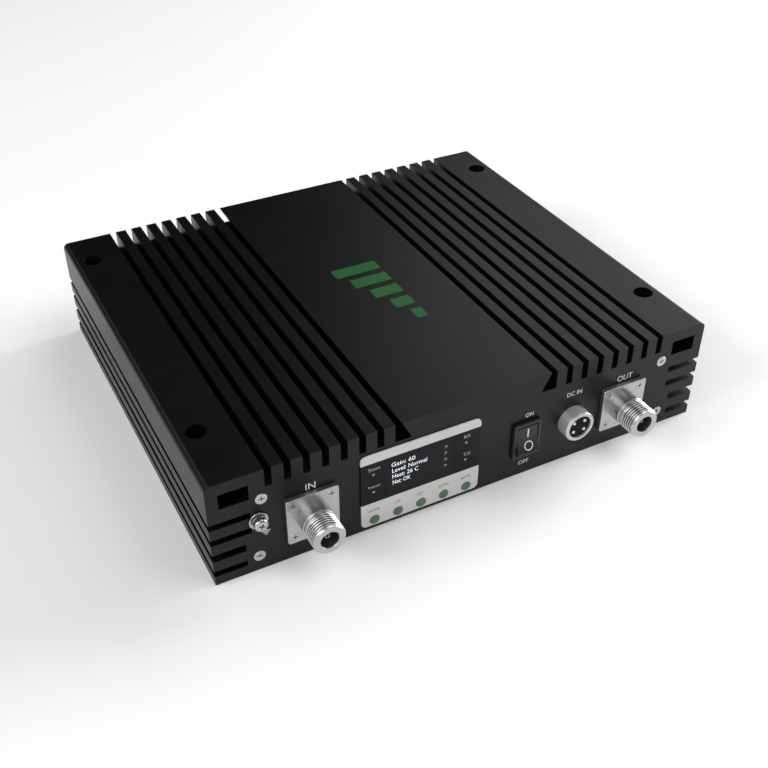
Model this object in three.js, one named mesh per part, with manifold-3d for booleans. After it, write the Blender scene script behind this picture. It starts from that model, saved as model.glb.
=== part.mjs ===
/**
 * Cellular signal booster: a finned aluminium extrusion closed by two end panels and a base plate.
 * The front panel carries two N-type antenna ports, a four-pin power socket, a rocker switch, a ground
 * screw and a membrane panel with a small display, four indicators and five keys.
 *
 * Millimetres. +Z is up, +X is to the right seen from the front, +Y runs from the front to the back.
 * Everything is drawn from the middle of the front panel's bottom edge. The last group moves that point
 * so that the origin is the middle of the unit's footprint, antenna ports included.
 */
import * as THREE from 'three';
import { mergeVertices } from 'three/addons/utils/BufferGeometryUtils.js';
import Module from 'manifold-3d';

const wasm = await Module();
wasm.setup();

// ---------------------------------------------------------------- driving dimensions

const CASE = { width: 264, depth: 226, height: 57, edgeRadius: 3 };
const PANEL = 4; // thickness of each end panel
const SEAM = 0.05; // what is left between an end panel and the extrusion
const SEAT = 0.1; // what is left between the front panel and a part that is fastened on it
const ROUND = 16; // sides of a round part
const SMALL = 10; // sides of a screw, pin or screw hole

// Fins: plain slots cut down into the top and into the two sides
const BLOCK_WIDTH = 26.6; // solid corner block at each side of the top
const TOP_SLOTS = { count: 8, pitch: 8.9, width: 3.4, depth: 9.8 };
const PLATEAU_LEAN = 5; // how far the middle plateau is undercut at the slot floor
const SIDE_SLOTS = [
  { low: 5.0, high: 8.2, floor: 116.4 },
  { low: 14.0, high: 17.9, floor: 116.4 },
  { low: 23.6, high: 26.8, floor: 113.0 },
  { low: 32.4, high: 35.6, floor: 113.0 },
];

// Channel that runs through each corner block, and the bolt holes that cross it
const CHANNEL = { inner: 112.8, outer: 126.4, low: 43, high: 51 };
const BOLT_HOLE = { x: 122, nearFront: 36.5, nearBack: 201, radius: 5, sides: 16 };

// Hollow inside the extrusion, half widths by height
const HOLLOW = { rebate: 109, rebateTop: 3.2, ledge: 102.5, ledgeTop: 9.5, wall: 108.5, ceiling: 43 };
const BASE = { halfWidth: 108.7, thickness: 3, clearance: 0.3 };

// End panel screws, M3 with a flat countersunk head
const PANEL_SCREWS = [
  { x: -107.5, z: 41 },
  { x: -110.5, z: 8.2 },
  { x: 107.5, z: 41 },
  { x: 110.5, z: 8.2 },
];
const SCREW = { headRadius: 3, headDepth: 1.7, shankRadius: 1.4, length: 14 };
const BOSS_RADIUS = 4.5;

// Antenna ports: N-type sockets on a 25.4 mm square flange
const PORT_HEIGHT = 23.8;
const PORTS = [
  { name: 'service_port', x: -85.1 },
  { name: 'donor_port', x: 84 },
];
const PORT = {
  flange: 25.4,
  flangeFront: 2.7,
  cornerRadius: 1.5,
  barrelRadius: 7.9,
  barrelEnd: 9.2,
  neckRadius: 6.9,
  neckEnd: 10.8,
  chamferStart: 19,
  reach: 20,
  lipRadius: 7.35,
  boreRadius: 4.4,
  boreDepth: 11.5,
  tubeRadius: 4.2,
  tail: 8,
};
const PORT_CONTACT = { radius: 1.45, front: 17, socketRadius: 0.8, socketDepth: 5, tail: 10 };
const INSULATOR_GAP = { outside: 0.25, inside: 0.2 };
const PORT_SCREW = { spacing: 9.2, headRadius: 2.7, headDepth: 1.5, shankRadius: 1.25, length: 6.4 };

// Power socket: round, four pins
const POWER = {
  x: 54.8,
  z: 24,
  shellRadius: 8.2,
  reach: 7.5,
  boreRadius: 6.3,
  threadRadius: 6.9,
  tail: 9,
  chamfer: 0.7,
  clearance: 0.2,
};
const POWER_INSERT = { radius: 6.0, front: 6.6, tail: 3 };
const POWER_PIN = { radius: 0.95, front: 7.1, tail: 13, halfX: 3.05, halfZ: 2.6, point: 0.35 };
const POWER_NUT = { acrossFlats: 18, thickness: 2.4, clearance: 0.25 };

// Rocker switch
const SWITCH = {
  x: 27.9,
  z: 22.5,
  bezel: { width: 15.4, height: 20.8, front: 1.9, radius: 1.2 },
  body: { width: 13.4, height: 19.4, depth: 17 },
  well: { width: 12.0, height: 17.6, depth: 6 },
  blade: { width: 4.8, thickness: 0.8, reach: 6, heights: [-5, 0] },
  trunnionRadius: 0.9,
  trunnionReach: 6.3,
  trunnionClearance: 0.15,
};
const ROCKER = {
  width: 11.6,
  halfLength: 7.3,
  crown: 4.3,
  valley: 3,
  back: 1.5,
  pivotDepth: 1.1,
  tilt: 10, // degrees, as it lies switched on
};

// Membrane panel with its keys and indicators
const MEMBRANE = { x: -29.7, z: 23.85, width: 62.4, height: 42.6, radius: 2.8, front: 1.0 };
const KEYS = { count: 5, firstX: -54.1, pitch: 12.25, z: 5.9, capRadius: 2.4, stemRadius: 1.6 };
const HOLE_CLEARANCE = 0.3; // round a key, a light pipe or a screw
const KEY_DEPTHS = { capFront: 1.5, capBack: 0.55, stemEnd: 4.9, chamfer: 0.25 };
const INDICATORS = [
  { x: -54.5, z: 33.4 },
  { x: -54.5, z: 23.0 },
  { x: -6.2, z: 33.4 },
  { x: -6.2, z: 23.0 },
];
const LIGHT_PIPE = { radius: 0.7, front: 1.1, collarRadius: 1.6, collarStart: 4.2, end: 5 };
const WINDOW = { x: -30, z: 28, width: 35, height: 20 };
const DISPLAY = {
  gap: 0.3, // round the glass, in the panel's window
  glassFront: 0.1,
  frameRim: 1.5, // how far the frame reaches past the window at each side
  frameFront: 4.2,
  frameBack: 5.8,
  header: { width: 10, height: 2.5 },
};
const KEYBOARD = { front: 9, thickness: 1.6, low: 3.5, high: 42, inset: 1, clearance: 0.1 };
const KEY_SWITCH = { size: 5, front: 5.8, plungerRadius: 1.4, plungerFront: 5.4 };
const LAMP = { width: 2, height: 1.6, rise: 1.2 };

// Ground screw, M4 with a flat washer and a spring washer
const GROUND = { x: -109.8, z: 29.8, holeRadius: 2.25 };
const GROUND_SCREW = {
  headRadius: 3.3,
  headFront: 4.8,
  headBack: 2.2,
  domeHeight: 0.6,
  domeInset: 0.8,
  shankRadius: 1.9,
  length: 10,
};
const FLAT_WASHER = { inner: 2.3, outer: 4.5, front: 0.9 };
const SPRING_WASHER = { inner: 2.4, outer: 3.6, front: 2.1, back: 1.0, split: 0.8 };

// What the case holds
const MAIN_BOARD = { halfWidth: 105, front: 28, back: 214, low: 9.8, thickness: 1.6 };
const AMPLIFIER = { width: 28, front: 158, back: 196, height: 7, x: 80 };
const REGULATOR = { width: 24, front: 32, back: 50, height: 6 };
const INLET = { width: 10, front: 29, back: 35, height: 8 };
const SINK = 0.5; // how far a joined block reaches into what it stands on
const BOARD_GAP = 0.2; // between the main board and the metal cases on it
const FILTER = { width: 74, depth: 92, height: 24, front: 44, x: 60, post: 2.6, postRise: 2.2 };
const SHIELD = { width: 76, depth: 56, height: 9, wall: 0.8, front: 148 };
const LEAD = { coaxRadius: 1.1, harnessRadius: 1.5, sides: 8, steps: 8, gap: 0.3, straight: 8 };

// ---------------------------------------------------------------- finishes

const FINISH = {
  anodised: { color: 0x1b1c1e, roughness: 0.5, metalness: 0.6 },
  nickel: { color: 0xc6c6c2, roughness: 0.24, metalness: 1 },
  zinc: { color: 0xb4b5b4, roughness: 0.35, metalness: 1 },
  silver: { color: 0xc9c9c6, roughness: 0.3, metalness: 1 },
  blackPlastic: { color: 0x17181a, roughness: 0.5, metalness: 0 },
  darkResin: { color: 0x0c0c0d, roughness: 0.65, metalness: 0 },
  portResin: { color: 0x232322, roughness: 0.5, metalness: 0 },
  membrane: { color: 0xd6d6d4, roughness: 0.42, metalness: 0 },
  greenKey: { color: 0x2f7a50, roughness: 0.45, metalness: 0 },
  clear: { color: 0xe6ebea, roughness: 0.2, metalness: 0 },
  glass: { color: 0x0a0b10, roughness: 0.12, metalness: 0 },
  board: { color: 0x1c4a30, roughness: 0.55, metalness: 0.1 },
  silverCase: { color: 0xb9bbbd, roughness: 0.4, metalness: 1 },
};

// ---------------------------------------------------------------- geometry helpers

/** Closed three.js geometry as a solid that can be joined and cut. */
function toSolid(geometry) {
  const bare = geometry.clone();
  bare.deleteAttribute('normal');
  bare.deleteAttribute('uv');
  const merged = mergeVertices(bare);
  return new wasm.Manifold(
    new wasm.Mesh({
      numProp: 3,
      vertProperties: new Float32Array(merged.attributes.position.array),
      triVerts: new Uint32Array(merged.index.array),
    }),
  );
}

function toGeometry(solid) {
  const mesh = solid.getMesh();
  const geometry = new THREE.BufferGeometry();
  geometry.setAttribute('position', new THREE.BufferAttribute(mesh.vertProperties, 3));
  geometry.setIndex(new THREE.BufferAttribute(mesh.triVerts, 1));
  geometry.computeVertexNormals();
  return geometry;
}

/** The first geometry with every other one cut out of it. */
function cut(geometry, ...tools) {
  const body = tools.reduce((left, tool) => left.subtract(toSolid(tool)), toSolid(geometry));
  return toGeometry(body);
}

/** Overlapping geometries joined into one body. */
function join(...geometries) {
  const solids = geometries.map(toSolid);
  return toGeometry(solids.reduce((left, right) => left.add(right)));
}

function polygon(points) {
  return new THREE.Shape(points.map(([x, z]) => new THREE.Vector2(x, z)));
}

/** Points along an arc about (x, z), angles in radians. */
function arc(x, z, radius, from, to, steps) {
  return Array.from({ length: steps + 1 }, (_, i) => {
    const angle = from + ((to - from) * i) / steps;
    return [x + radius * Math.cos(angle), z + radius * Math.sin(angle)];
  });
}

function roundedRectangle(width, height, radius) {
  const w = width / 2 - radius;
  const h = height / 2 - radius;
  const quarter = Math.PI / 2;
  const centres = [[w, -h], [w, h], [-w, h], [-w, -h]];
  const points = centres.flatMap(([x, z], i) => arc(x, z, radius, (i - 1) * quarter, i * quarter, 4));
  return polygon(points);
}

/** The four places at a distance of x and z from the middle. */
function corners(x, z) {
  return [[-x, -z], [x, -z], [-x, z], [x, z]];
}

function disc(x, z, radius, sides = ROUND) {
  return polygon(arc(x, z, radius, 0, 2 * Math.PI, sides).slice(0, -1));
}

/** A section in the XZ plane carried along Y. */
function alongY(shape, from, to) {
  const geometry = new THREE.ExtrudeGeometry(shape, { depth: to - from, bevelEnabled: false });
  geometry.rotateX(Math.PI / 2);
  return geometry.translate(0, to, 0);
}

/** A section drawn as (y, z) carried along X. */
function alongX(shape, from, to) {
  const geometry = new THREE.ExtrudeGeometry(shape, { depth: to - from, bevelEnabled: false });
  const turn = new THREE.Matrix4().makeBasis(
    new THREE.Vector3(0, 1, 0),
    new THREE.Vector3(0, 0, 1),
    new THREE.Vector3(1, 0, 0),
  );
  return geometry.applyMatrix4(turn).translate(from, 0, 0);
}

/** A turned part about the Y axis. The outline is (radius, y) and runs from its back to its front. */
function turned(outline, sides = ROUND) {
  const points = outline.map(([radius, y]) => new THREE.Vector2(radius, y));
  return new THREE.LatheGeometry(points.reverse(), sides);
}

function box(x0, x1, y0, y1, z0, z1) {
  const geometry = new THREE.BoxGeometry(x1 - x0, y1 - y0, z1 - z0);
  return geometry.translate((x0 + x1) / 2, (y0 + y1) / 2, (z0 + z1) / 2);
}

/** A box of this width and height about the Y axis. */
function middleBox(width, height, from, to) {
  return box(-width / 2, width / 2, from, to, -height / 2, height / 2);
}

function rod(x, z, radius, from, to, sides = ROUND) {
  const geometry = new THREE.CylinderGeometry(radius, radius, to - from, sides);
  return geometry.translate(x, (from + to) / 2, z);
}

function part(name, geometry, finish) {
  const mesh = new THREE.Mesh(geometry, new THREE.MeshStandardMaterial(FINISH[finish]));
  mesh.name = name;
  return mesh;
}

function placed(mesh, x, y, z) {
  mesh.position.set(x, y, z);
  return mesh;
}

// ---------------------------------------------------------------- extrusion, panels and base

/** Right half of the finned section, from the bottom corner round to the plateau's edge. */
function halfSection() {
  const half = CASE.width / 2;
  const corner = CASE.edgeRadius;
  const floor = CASE.height - TOP_SLOTS.depth;
  const points = [[half, 0]];
  for (const slot of SIDE_SLOTS) {
    points.push([half, slot.low], [slot.floor, slot.low], [slot.floor, slot.high], [half, slot.high]);
  }
  points.push(...arc(half - corner, CASE.height - corner, corner, 0, Math.PI / 2, 4));
  for (let i = 0; i < TOP_SLOTS.count; i += 1) {
    const outer = half - BLOCK_WIDTH - i * TOP_SLOTS.pitch;
    const inner = outer - TOP_SLOTS.width;
    const lean = i === TOP_SLOTS.count - 1 ? PLATEAU_LEAN : 0;
    points.push([outer, CASE.height], [outer, floor], [inner - lean, floor], [inner, CASE.height]);
  }
  return points;
}

/** A length of the finned section, from one y to another. */
function caseLength(from, to) {
  const right = halfSection();
  const left = right.map(([x, z]) => [-x, z]).reverse();
  return alongY(polygon([...right, ...left]), from, to);
}

function channels() {
  const { inner, outer, low, high } = CHANNEL;
  const run = [-1, CASE.depth + 1];
  return [box(inner, outer, ...run, low, high), box(-outer, -inner, ...run, low, high)];
}

/** The hollow for the electronics, with a rebate for the base plate and a ledge for the board. */
function hollowSpace() {
  const { rebate, rebateTop, ledge, ledgeTop, wall, ceiling } = HOLLOW;
  const right = [[rebate, -1], [rebate, rebateTop], [ledge, rebateTop], [ledge, ledgeTop]];
  right.push([wall, ledgeTop], [wall, ceiling]);
  const left = right.map(([x, z]) => [-x, z]).reverse();
  const hollow = alongY(polygon([...right, ...left]), 0, CASE.depth);
  const bosses = PANEL_SCREWS.filter(({ z }) => z > ledgeTop);
  return cut(hollow, ...bosses.map(({ x, z }) => rod(x, z, BOSS_RADIUS, -1, CASE.depth + 1, 12)));
}

function boltHoles() {
  const { x, nearFront, nearBack, radius, sides } = BOLT_HOLE;
  const drill = new THREE.CylinderGeometry(radius, radius, CASE.height + 2, sides);
  drill.rotateX(Math.PI / 2);
  const places = [-x, x].flatMap((side) => [nearFront, nearBack].map((y) => [side, y]));
  return places.map(([side, y]) => drill.clone().translate(side, y, CASE.height / 2));
}

function heatsinkHousing() {
  const length = caseLength(PANEL + SEAM, CASE.depth - PANEL - SEAM);
  const bore = SCREW.shankRadius + HOLE_CLEARANCE;
  const threads = PANEL_SCREWS.flatMap(({ x, z }) => [
    rod(x, z, bore, 0, SCREW.length + 1, SMALL),
    rod(x, z, bore, CASE.depth - SCREW.length - 1, CASE.depth, SMALL),
  ]);
  const groundThread = rod(GROUND.x, GROUND.z, GROUND.holeRadius, 0, GROUND_SCREW.length + 1, SMALL);
  return part(
    'heatsink_housing',
    cut(length, hollowSpace(), ...channels(), ...boltHoles(), ...threads, groundThread),
    'anodised',
  );
}

function basePlate() {
  const { halfWidth, thickness, clearance } = BASE;
  const front = PANEL + clearance;
  return part(
    'base_plate',
    box(-halfWidth, halfWidth, front, CASE.depth - front, 0, thickness),
    'anodised',
  );
}

/** Clearance hole and countersink for a flat-head screw whose head lies flush with y = 0. */
function countersink(screw, depth) {
  const { headRadius, headDepth, shankRadius } = screw;
  const hole = shankRadius + HOLE_CLEARANCE;
  const mouth = headRadius + HOLE_CLEARANCE;
  const past = 1; // the tool runs past both faces of what it cuts
  const outline = [[0, depth + past], [hole, depth + past], [hole, headDepth]];
  outline.push([mouth, 0], [mouth, -past], [0, -past]);
  return turned(outline, SMALL);
}

/** A flat-head screw whose head lies flush with y = 0 and whose shank points along +Y. */
function flatHeadScrew(screw) {
  const { headRadius, headDepth, shankRadius, length } = screw;
  const outline = [[0, length], [shankRadius, length], [shankRadius, headDepth], [headRadius, 0], [0, 0]];
  return turned(outline, SMALL);
}

function frontPanel() {
  const drill = (x, z, radius, sides = ROUND) => rod(x, z, radius, -1, PANEL + 1, sides);
  const opening = ({ x, z, width, height }) =>
    box(x - width / 2, x + width / 2, -1, PANEL + 1, z - height / 2, z + height / 2);
  const { x, z, body } = SWITCH;
  const portScrewHole = PORT_SCREW.shankRadius + HOLE_CLEARANCE;
  const holes = [
    ...PORTS.map((port) => drill(port.x, PORT_HEIGHT, PORT.barrelRadius + HOLE_CLEARANCE)),
    ...PORTS.flatMap(portScrewPlaces).map((at) => drill(at.x, at.z, portScrewHole, SMALL)),
    drill(POWER.x, POWER.z, POWER.threadRadius + HOLE_CLEARANCE),
    opening({ x, z, width: body.width + 0.4, height: body.height + 0.4 }),
    opening(WINDOW),
    ...keyPlaces().map((keyX) => drill(keyX, KEYS.z, KEYS.stemRadius + HOLE_CLEARANCE, 12)),
    ...INDICATORS.map((at) => drill(at.x, at.z, LIGHT_PIPE.radius + HOLE_CLEARANCE, SMALL)),
    drill(GROUND.x, GROUND.z, GROUND.holeRadius, SMALL),
  ];
  const seats = PANEL_SCREWS.map((at) => countersink(SCREW, PANEL).translate(at.x, 0, at.z));
  return part('front_panel', cut(caseLength(0, PANEL), ...channels(), ...holes, ...seats), 'anodised');
}

function rearPanel() {
  const blank = caseLength(CASE.depth - PANEL, CASE.depth);
  const seats = PANEL_SCREWS.map((at) =>
    countersink(SCREW, PANEL).rotateZ(Math.PI).translate(at.x, CASE.depth, at.z),
  );
  return part('rear_panel', cut(blank, ...channels(), ...seats), 'anodised');
}

function panelScrews() {
  return PANEL_SCREWS.flatMap((at, i) => {
    const front = part(`front_panel_screw_${i + 1}`, flatHeadScrew(SCREW), 'zinc');
    const rear = part(`rear_panel_screw_${i + 1}`, flatHeadScrew(SCREW), 'zinc');
    rear.rotation.z = Math.PI;
    return [placed(front, at.x, 0, at.z), placed(rear, at.x, CASE.depth, at.z)];
  });
}

// ---------------------------------------------------------------- antenna ports

function portScrewPlaces(port) {
  const { spacing } = PORT_SCREW;
  return corners(spacing, spacing).map(([x, z]) => ({ x: port.x + x, z: PORT_HEIGHT + z }));
}

/** Flange, barrel, neck and threaded nose in one piece, about its own axis. */
function portBody() {
  const p = PORT;
  const floor = p.boreDepth - p.reach;
  const nose = turned([
    [p.tubeRadius, p.tail],
    [p.barrelRadius, p.tail],
    [p.barrelRadius, -p.barrelEnd],
    [p.neckRadius, -p.barrelEnd],
    [p.neckRadius, -p.neckEnd],
    [p.barrelRadius, -p.neckEnd],
    [p.barrelRadius, -p.chamferStart],
    [p.lipRadius, -p.reach],
    [p.boreRadius, -p.reach],
    [p.boreRadius, floor],
    [p.tubeRadius, floor],
    [p.tubeRadius, p.tail],
  ]);
  const plate = roundedRectangle(p.flange, p.flange, p.cornerRadius);
  plate.holes.push(disc(0, 0, p.barrelRadius - 1));
  const flange = alongY(plate, -p.flangeFront, -SEAT);
  const seats = corners(PORT_SCREW.spacing, PORT_SCREW.spacing).map(([x, z]) =>
    countersink(PORT_SCREW, PORT.flangeFront).translate(x, -PORT.flangeFront, z),
  );
  return cut(join(flange, nose), ...seats);
}

function portInsulator() {
  const outer = PORT.tubeRadius - INSULATOR_GAP.outside;
  const inner = PORT_CONTACT.radius + INSULATOR_GAP.inside;
  const front = PORT.boreDepth - PORT.reach;
  return turned([[inner, PORT.tail], [outer, PORT.tail], [outer, front], [inner, front], [inner, PORT.tail]]);
}

function portContact() {
  const { radius, front, socketRadius, socketDepth, tail } = PORT_CONTACT;
  const socketFloor = socketDepth - front;
  const pin = [[0, tail], [radius, tail], [radius, -front]];
  const socket = [[socketRadius, -front], [socketRadius, socketFloor], [0, socketFloor]];
  return turned([...pin, ...socket], SMALL);
}

function antennaPort(port) {
  const group = new THREE.Group();
  group.add(
    placed(part(`${port.name}_body`, portBody(), 'nickel'), port.x, 0, PORT_HEIGHT),
    placed(part(`${port.name}_insulator`, portInsulator(), 'portResin'), port.x, 0, PORT_HEIGHT),
    placed(part(`${port.name}_contact`, portContact(), 'silver'), port.x, 0, PORT_HEIGHT),
  );
  portScrewPlaces(port).forEach((at, i) => {
    const screw = part(`${port.name}_screw_${i + 1}`, flatHeadScrew(PORT_SCREW), 'nickel');
    group.add(placed(screw, at.x, -PORT.flangeFront, at.z));
  });
  return group;
}

// ---------------------------------------------------------------- power socket

function powerSocket() {
  const p = POWER;
  const tubeRadius = POWER_INSERT.radius + p.clearance;
  const shell = turned([
    [tubeRadius, p.tail],
    [p.threadRadius, p.tail],
    [p.threadRadius, -SEAT],
    [p.shellRadius, -SEAT],
    [p.shellRadius, p.chamfer - p.reach],
    [p.shellRadius - p.chamfer, -p.reach],
    [p.boreRadius, -p.reach],
    [tubeRadius, p.chamfer - p.reach],
    [tubeRadius, p.tail],
  ]);
  const pinPlaces = corners(POWER_PIN.halfX, POWER_PIN.halfZ);
  const pinHole = POWER_PIN.radius + p.clearance;
  const pinHoles = pinPlaces.map(([x, z]) => rod(x, z, pinHole, -p.reach, p.tail + 2, SMALL));
  const block = rod(0, 0, POWER_INSERT.radius, -POWER_INSERT.front, POWER_INSERT.tail);
  const insert = cut(block, ...pinHoles);
  const nutFace = disc(0, 0, POWER_NUT.acrossFlats / Math.sqrt(3), 6);
  nutFace.holes.push(disc(0, 0, p.threadRadius + POWER_NUT.clearance));
  const nut = alongY(nutFace, PANEL + SEAT, PANEL + SEAT + POWER_NUT.thickness);
  const group = new THREE.Group();
  group.position.set(p.x, 0, p.z);
  group.add(
    part('power_socket_shell', shell, 'nickel'),
    part('power_socket_insert', insert, 'darkResin'),
    part('power_socket_nut', nut, 'nickel'),
  );
  pinPlaces.forEach(([x, z], i) => {
    const { radius, front, tail, point } = POWER_PIN;
    const tip = [[radius, point - front], [radius - point, -front], [0, -front]];
    const pin = turned([[0, tail], [radius, tail], ...tip], SMALL);
    group.add(placed(part(`power_pin_${i + 1}`, pin, 'nickel'), x, 0, z));
  });
  return group;
}

// ---------------------------------------------------------------- rocker switch

/** Bezel, body and blade terminals. The rocker turns on two holes in the side walls of the well. */
function switchBody() {
  const { bezel, body, well, blade, trunnionRadius, trunnionClearance } = SWITCH;
  const rim = alongY(roundedRectangle(bezel.width, bezel.height, bezel.radius), -bezel.front, -SEAT);
  const block = middleBox(body.width, body.height, -1, body.depth);
  const blades = blade.heights.map((z) =>
    middleBox(blade.width, blade.thickness, body.depth - SINK, body.depth + blade.reach).translate(0, 0, z),
  );
  const space = middleBox(well.width, well.height, -bezel.front - 1, well.depth);
  const bearingReach = SWITCH.trunnionReach + trunnionClearance;
  const bearing = new THREE.CylinderGeometry(
    trunnionRadius + trunnionClearance,
    trunnionRadius + trunnionClearance,
    2 * bearingReach,
    SMALL,
  );
  bearing.rotateZ(Math.PI / 2).translate(0, ROCKER.pivotDepth, 0);
  return cut(join(rim, block, ...blades), space, bearing);
}

/** The rocker as it lies switched on: its upper half pressed in, its lower half standing out. */
function switchRocker() {
  const { width, halfLength, crown, valley, back, tilt } = ROCKER;
  const reach = Math.hypot(halfLength, crown);
  const from = Math.atan2(crown, halfLength);
  const to = -Math.asin(back / reach);
  const upper = arc(0, 0, reach, from, to, 6).map(([z, out]) => [-out, z]);
  const lower = upper.map(([y, z]) => [y, -z]);
  const paddle = alongX(polygon([[-valley, 0], ...lower, ...upper.reverse()]), -width / 2, width / 2);
  const trunnion = new THREE.CylinderGeometry(
    SWITCH.trunnionRadius,
    SWITCH.trunnionRadius,
    2 * SWITCH.trunnionReach,
    SMALL,
  );
  trunnion.rotateZ(Math.PI / 2);
  const rocker = join(paddle, trunnion);
  return rocker.rotateX(THREE.MathUtils.degToRad(-tilt));
}

function rockerSwitch() {
  const group = new THREE.Group();
  group.position.set(SWITCH.x, 0, SWITCH.z);
  group.add(
    part('switch_body', switchBody(), 'blackPlastic'),
    placed(part('switch_rocker', switchRocker(), 'blackPlastic'), 0, ROCKER.pivotDepth, 0),
  );
  return group;
}

// ---------------------------------------------------------------- membrane panel, keys and display

function keyPlaces() {
  return Array.from({ length: KEYS.count }, (_, i) => KEYS.firstX + i * KEYS.pitch);
}

function membrane() {
  const { x, z, width, height, radius, front } = MEMBRANE;
  const drill = (holeX, holeZ, hole, sides) =>
    rod(holeX - x, holeZ - z, hole + HOLE_CLEARANCE, -front - 1, 1, sides);
  const holes = [
    ...keyPlaces().map((keyX) => drill(keyX, KEYS.z, KEYS.capRadius, ROUND)),
    ...INDICATORS.map((at) => drill(at.x, at.z, LIGHT_PIPE.radius, SMALL)),
  ];
  const sheet = alongY(roundedRectangle(width, height, radius), -front, -SEAT);
  return placed(part('membrane_panel', cut(sheet, ...holes), 'membrane'), x, 0, z);
}

function keys() {
  const { capFront, capBack, stemEnd, chamfer } = KEY_DEPTHS;
  const outline = [
    [0, stemEnd],
    [KEYS.stemRadius, stemEnd],
    [KEYS.stemRadius, -capBack],
    [KEYS.capRadius, -capBack],
    [KEYS.capRadius, chamfer - capFront],
    [KEYS.capRadius - chamfer, -capFront],
    [0, -capFront],
  ];
  return keyPlaces().map((x, i) => placed(part(`key_${i + 1}`, turned(outline), 'greenKey'), x, 0, KEYS.z));
}

function lightPipes() {
  const { radius, front, collarRadius, collarStart, end } = LIGHT_PIPE;
  const outline = [[0, end], [collarRadius, end], [collarRadius, collarStart], [radius, collarStart]];
  outline.push([radius, -front], [0, -front]);
  return INDICATORS.map((at, i) =>
    placed(part(`light_pipe_${i + 1}`, turned(outline, SMALL), 'clear'), at.x, 0, at.z),
  );
}

/** Glass in the panel's window, a frame behind the panel and the header that joins it to the keyboard. */
function displayModule() {
  const { x, z, width, height } = WINDOW;
  const { gap, glassFront, frameRim, frameFront, frameBack, header } = DISPLAY;
  const glass = middleBox(width - 2 * gap, height - 2 * gap, glassFront, frameBack - SINK);
  const frame = middleBox(width + 2 * frameRim, height + 2 * frameRim, frameFront, frameBack);
  const boardFace = KEYBOARD.front - KEYBOARD.clearance;
  const plug = middleBox(header.width, header.height, frameBack - SINK, boardFace);
  plug.translate(0, 0, (height - header.height) / 2);
  return placed(part('display_module', join(glass, frame, plug), 'glass'), x, 0, z);
}

/** Board behind the membrane, with a push switch behind each key and a lamp behind each light pipe. */
function keyboard() {
  const { front, thickness, low, high, inset } = KEYBOARD;
  const left = MEMBRANE.x - MEMBRANE.width / 2 + inset;
  const right = MEMBRANE.x + MEMBRANE.width / 2 - inset;
  const board = box(left, right, front, front + thickness, low, high);
  const { size, front: face, plungerRadius, plungerFront } = KEY_SWITCH;
  const switches = keyPlaces().flatMap((x) => [
    middleBox(size, size, face, front + SINK).translate(x, 0, KEYS.z),
    rod(x, KEYS.z, plungerRadius, plungerFront, face + SINK, 8),
  ]);
  const lamps = INDICATORS.map(({ x, z }) =>
    middleBox(LAMP.width, LAMP.height, front - LAMP.rise, front + SINK).translate(x, 0, z),
  );
  return part('keyboard_board', join(board, ...switches, ...lamps), 'board');
}

// ---------------------------------------------------------------- ground screw

function groundTerminal() {
  const { headRadius, headFront, headBack, shankRadius, length } = GROUND_SCREW;
  const screw = turned([
    [0, length],
    [shankRadius, length],
    [shankRadius, -headBack],
    [headRadius, -headBack],
    [headRadius, GROUND_SCREW.domeHeight - headFront],
    [headRadius - GROUND_SCREW.domeInset, -headFront],
    [0, -headFront],
  ]);
  const washerFace = disc(0, 0, FLAT_WASHER.outer);
  washerFace.holes.push(disc(0, 0, FLAT_WASHER.inner));
  const half = Math.asin(SPRING_WASHER.split / 2 / SPRING_WASHER.inner);
  const ring = polygon([
    ...arc(0, 0, SPRING_WASHER.outer, half, 2 * Math.PI - half, ROUND),
    ...arc(0, 0, SPRING_WASHER.inner, 2 * Math.PI - half, half, ROUND),
  ]);
  const group = new THREE.Group();
  group.position.set(GROUND.x, 0, GROUND.z);
  group.add(
    part('ground_screw', screw, 'zinc'),
    part('ground_flat_washer', alongY(washerFace, -FLAT_WASHER.front, -SEAT), 'zinc'),
    part('ground_spring_washer', alongY(ring, -SPRING_WASHER.front, -SPRING_WASHER.back), 'zinc'),
  );
  return group;
}

// ---------------------------------------------------------------- electronics

/** Main board with its amplifiers, regulator and inlet, resting on the two ledges of the extrusion. */
function mainBoard() {
  const { halfWidth, front, back, low, thickness } = MAIN_BOARD;
  const top = low + thickness;
  const board = box(-halfWidth, halfWidth, front, back, low, top);
  const block = (x, item) =>
    box(x - item.width / 2, x + item.width / 2, item.front, item.back, top - SINK, top + item.height);
  const amplifiers = [block(-AMPLIFIER.x, AMPLIFIER), block(AMPLIFIER.x, AMPLIFIER)];
  return part('main_board', join(board, ...amplifiers, block(0, REGULATOR), block(POWER.x, INLET)), 'board');
}

/** Cavity filter: a milled block with its tuning posts standing out of the lid. */
function cavityFilter(name, x) {
  const { width, depth, height, front, post, postRise } = FILTER;
  const bottom = MAIN_BOARD.low + MAIN_BOARD.thickness + BOARD_GAP;
  const block = box(x - width / 2, x + width / 2, front, front + depth, bottom, bottom + height);
  const posts = [0.2, 0.5, 0.8].flatMap((along) =>
    [-0.25, 0.25].map((across) => {
      const tuner = new THREE.CylinderGeometry(post, post, postRise + 1, 8);
      tuner.rotateX(Math.PI / 2);
      const rise = bottom + height + (postRise - 1) / 2;
      return tuner.translate(x + across * width, front + along * depth, rise);
    }),
  );
  return part(name, join(block, ...posts), 'silverCase');
}

function shieldCan() {
  const { width, depth, height, wall, front } = SHIELD;
  const bottom = MAIN_BOARD.low + MAIN_BOARD.thickness + BOARD_GAP;
  const outer = box(-width / 2, width / 2, front, front + depth, bottom, bottom + height);
  const inner = box(
    wall - width / 2,
    width / 2 - wall,
    front + wall,
    front + depth - wall,
    bottom - 1,
    bottom + height - wall,
  );
  return part('rf_shield_can', cut(outer, inner), 'silverCase');
}

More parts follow.
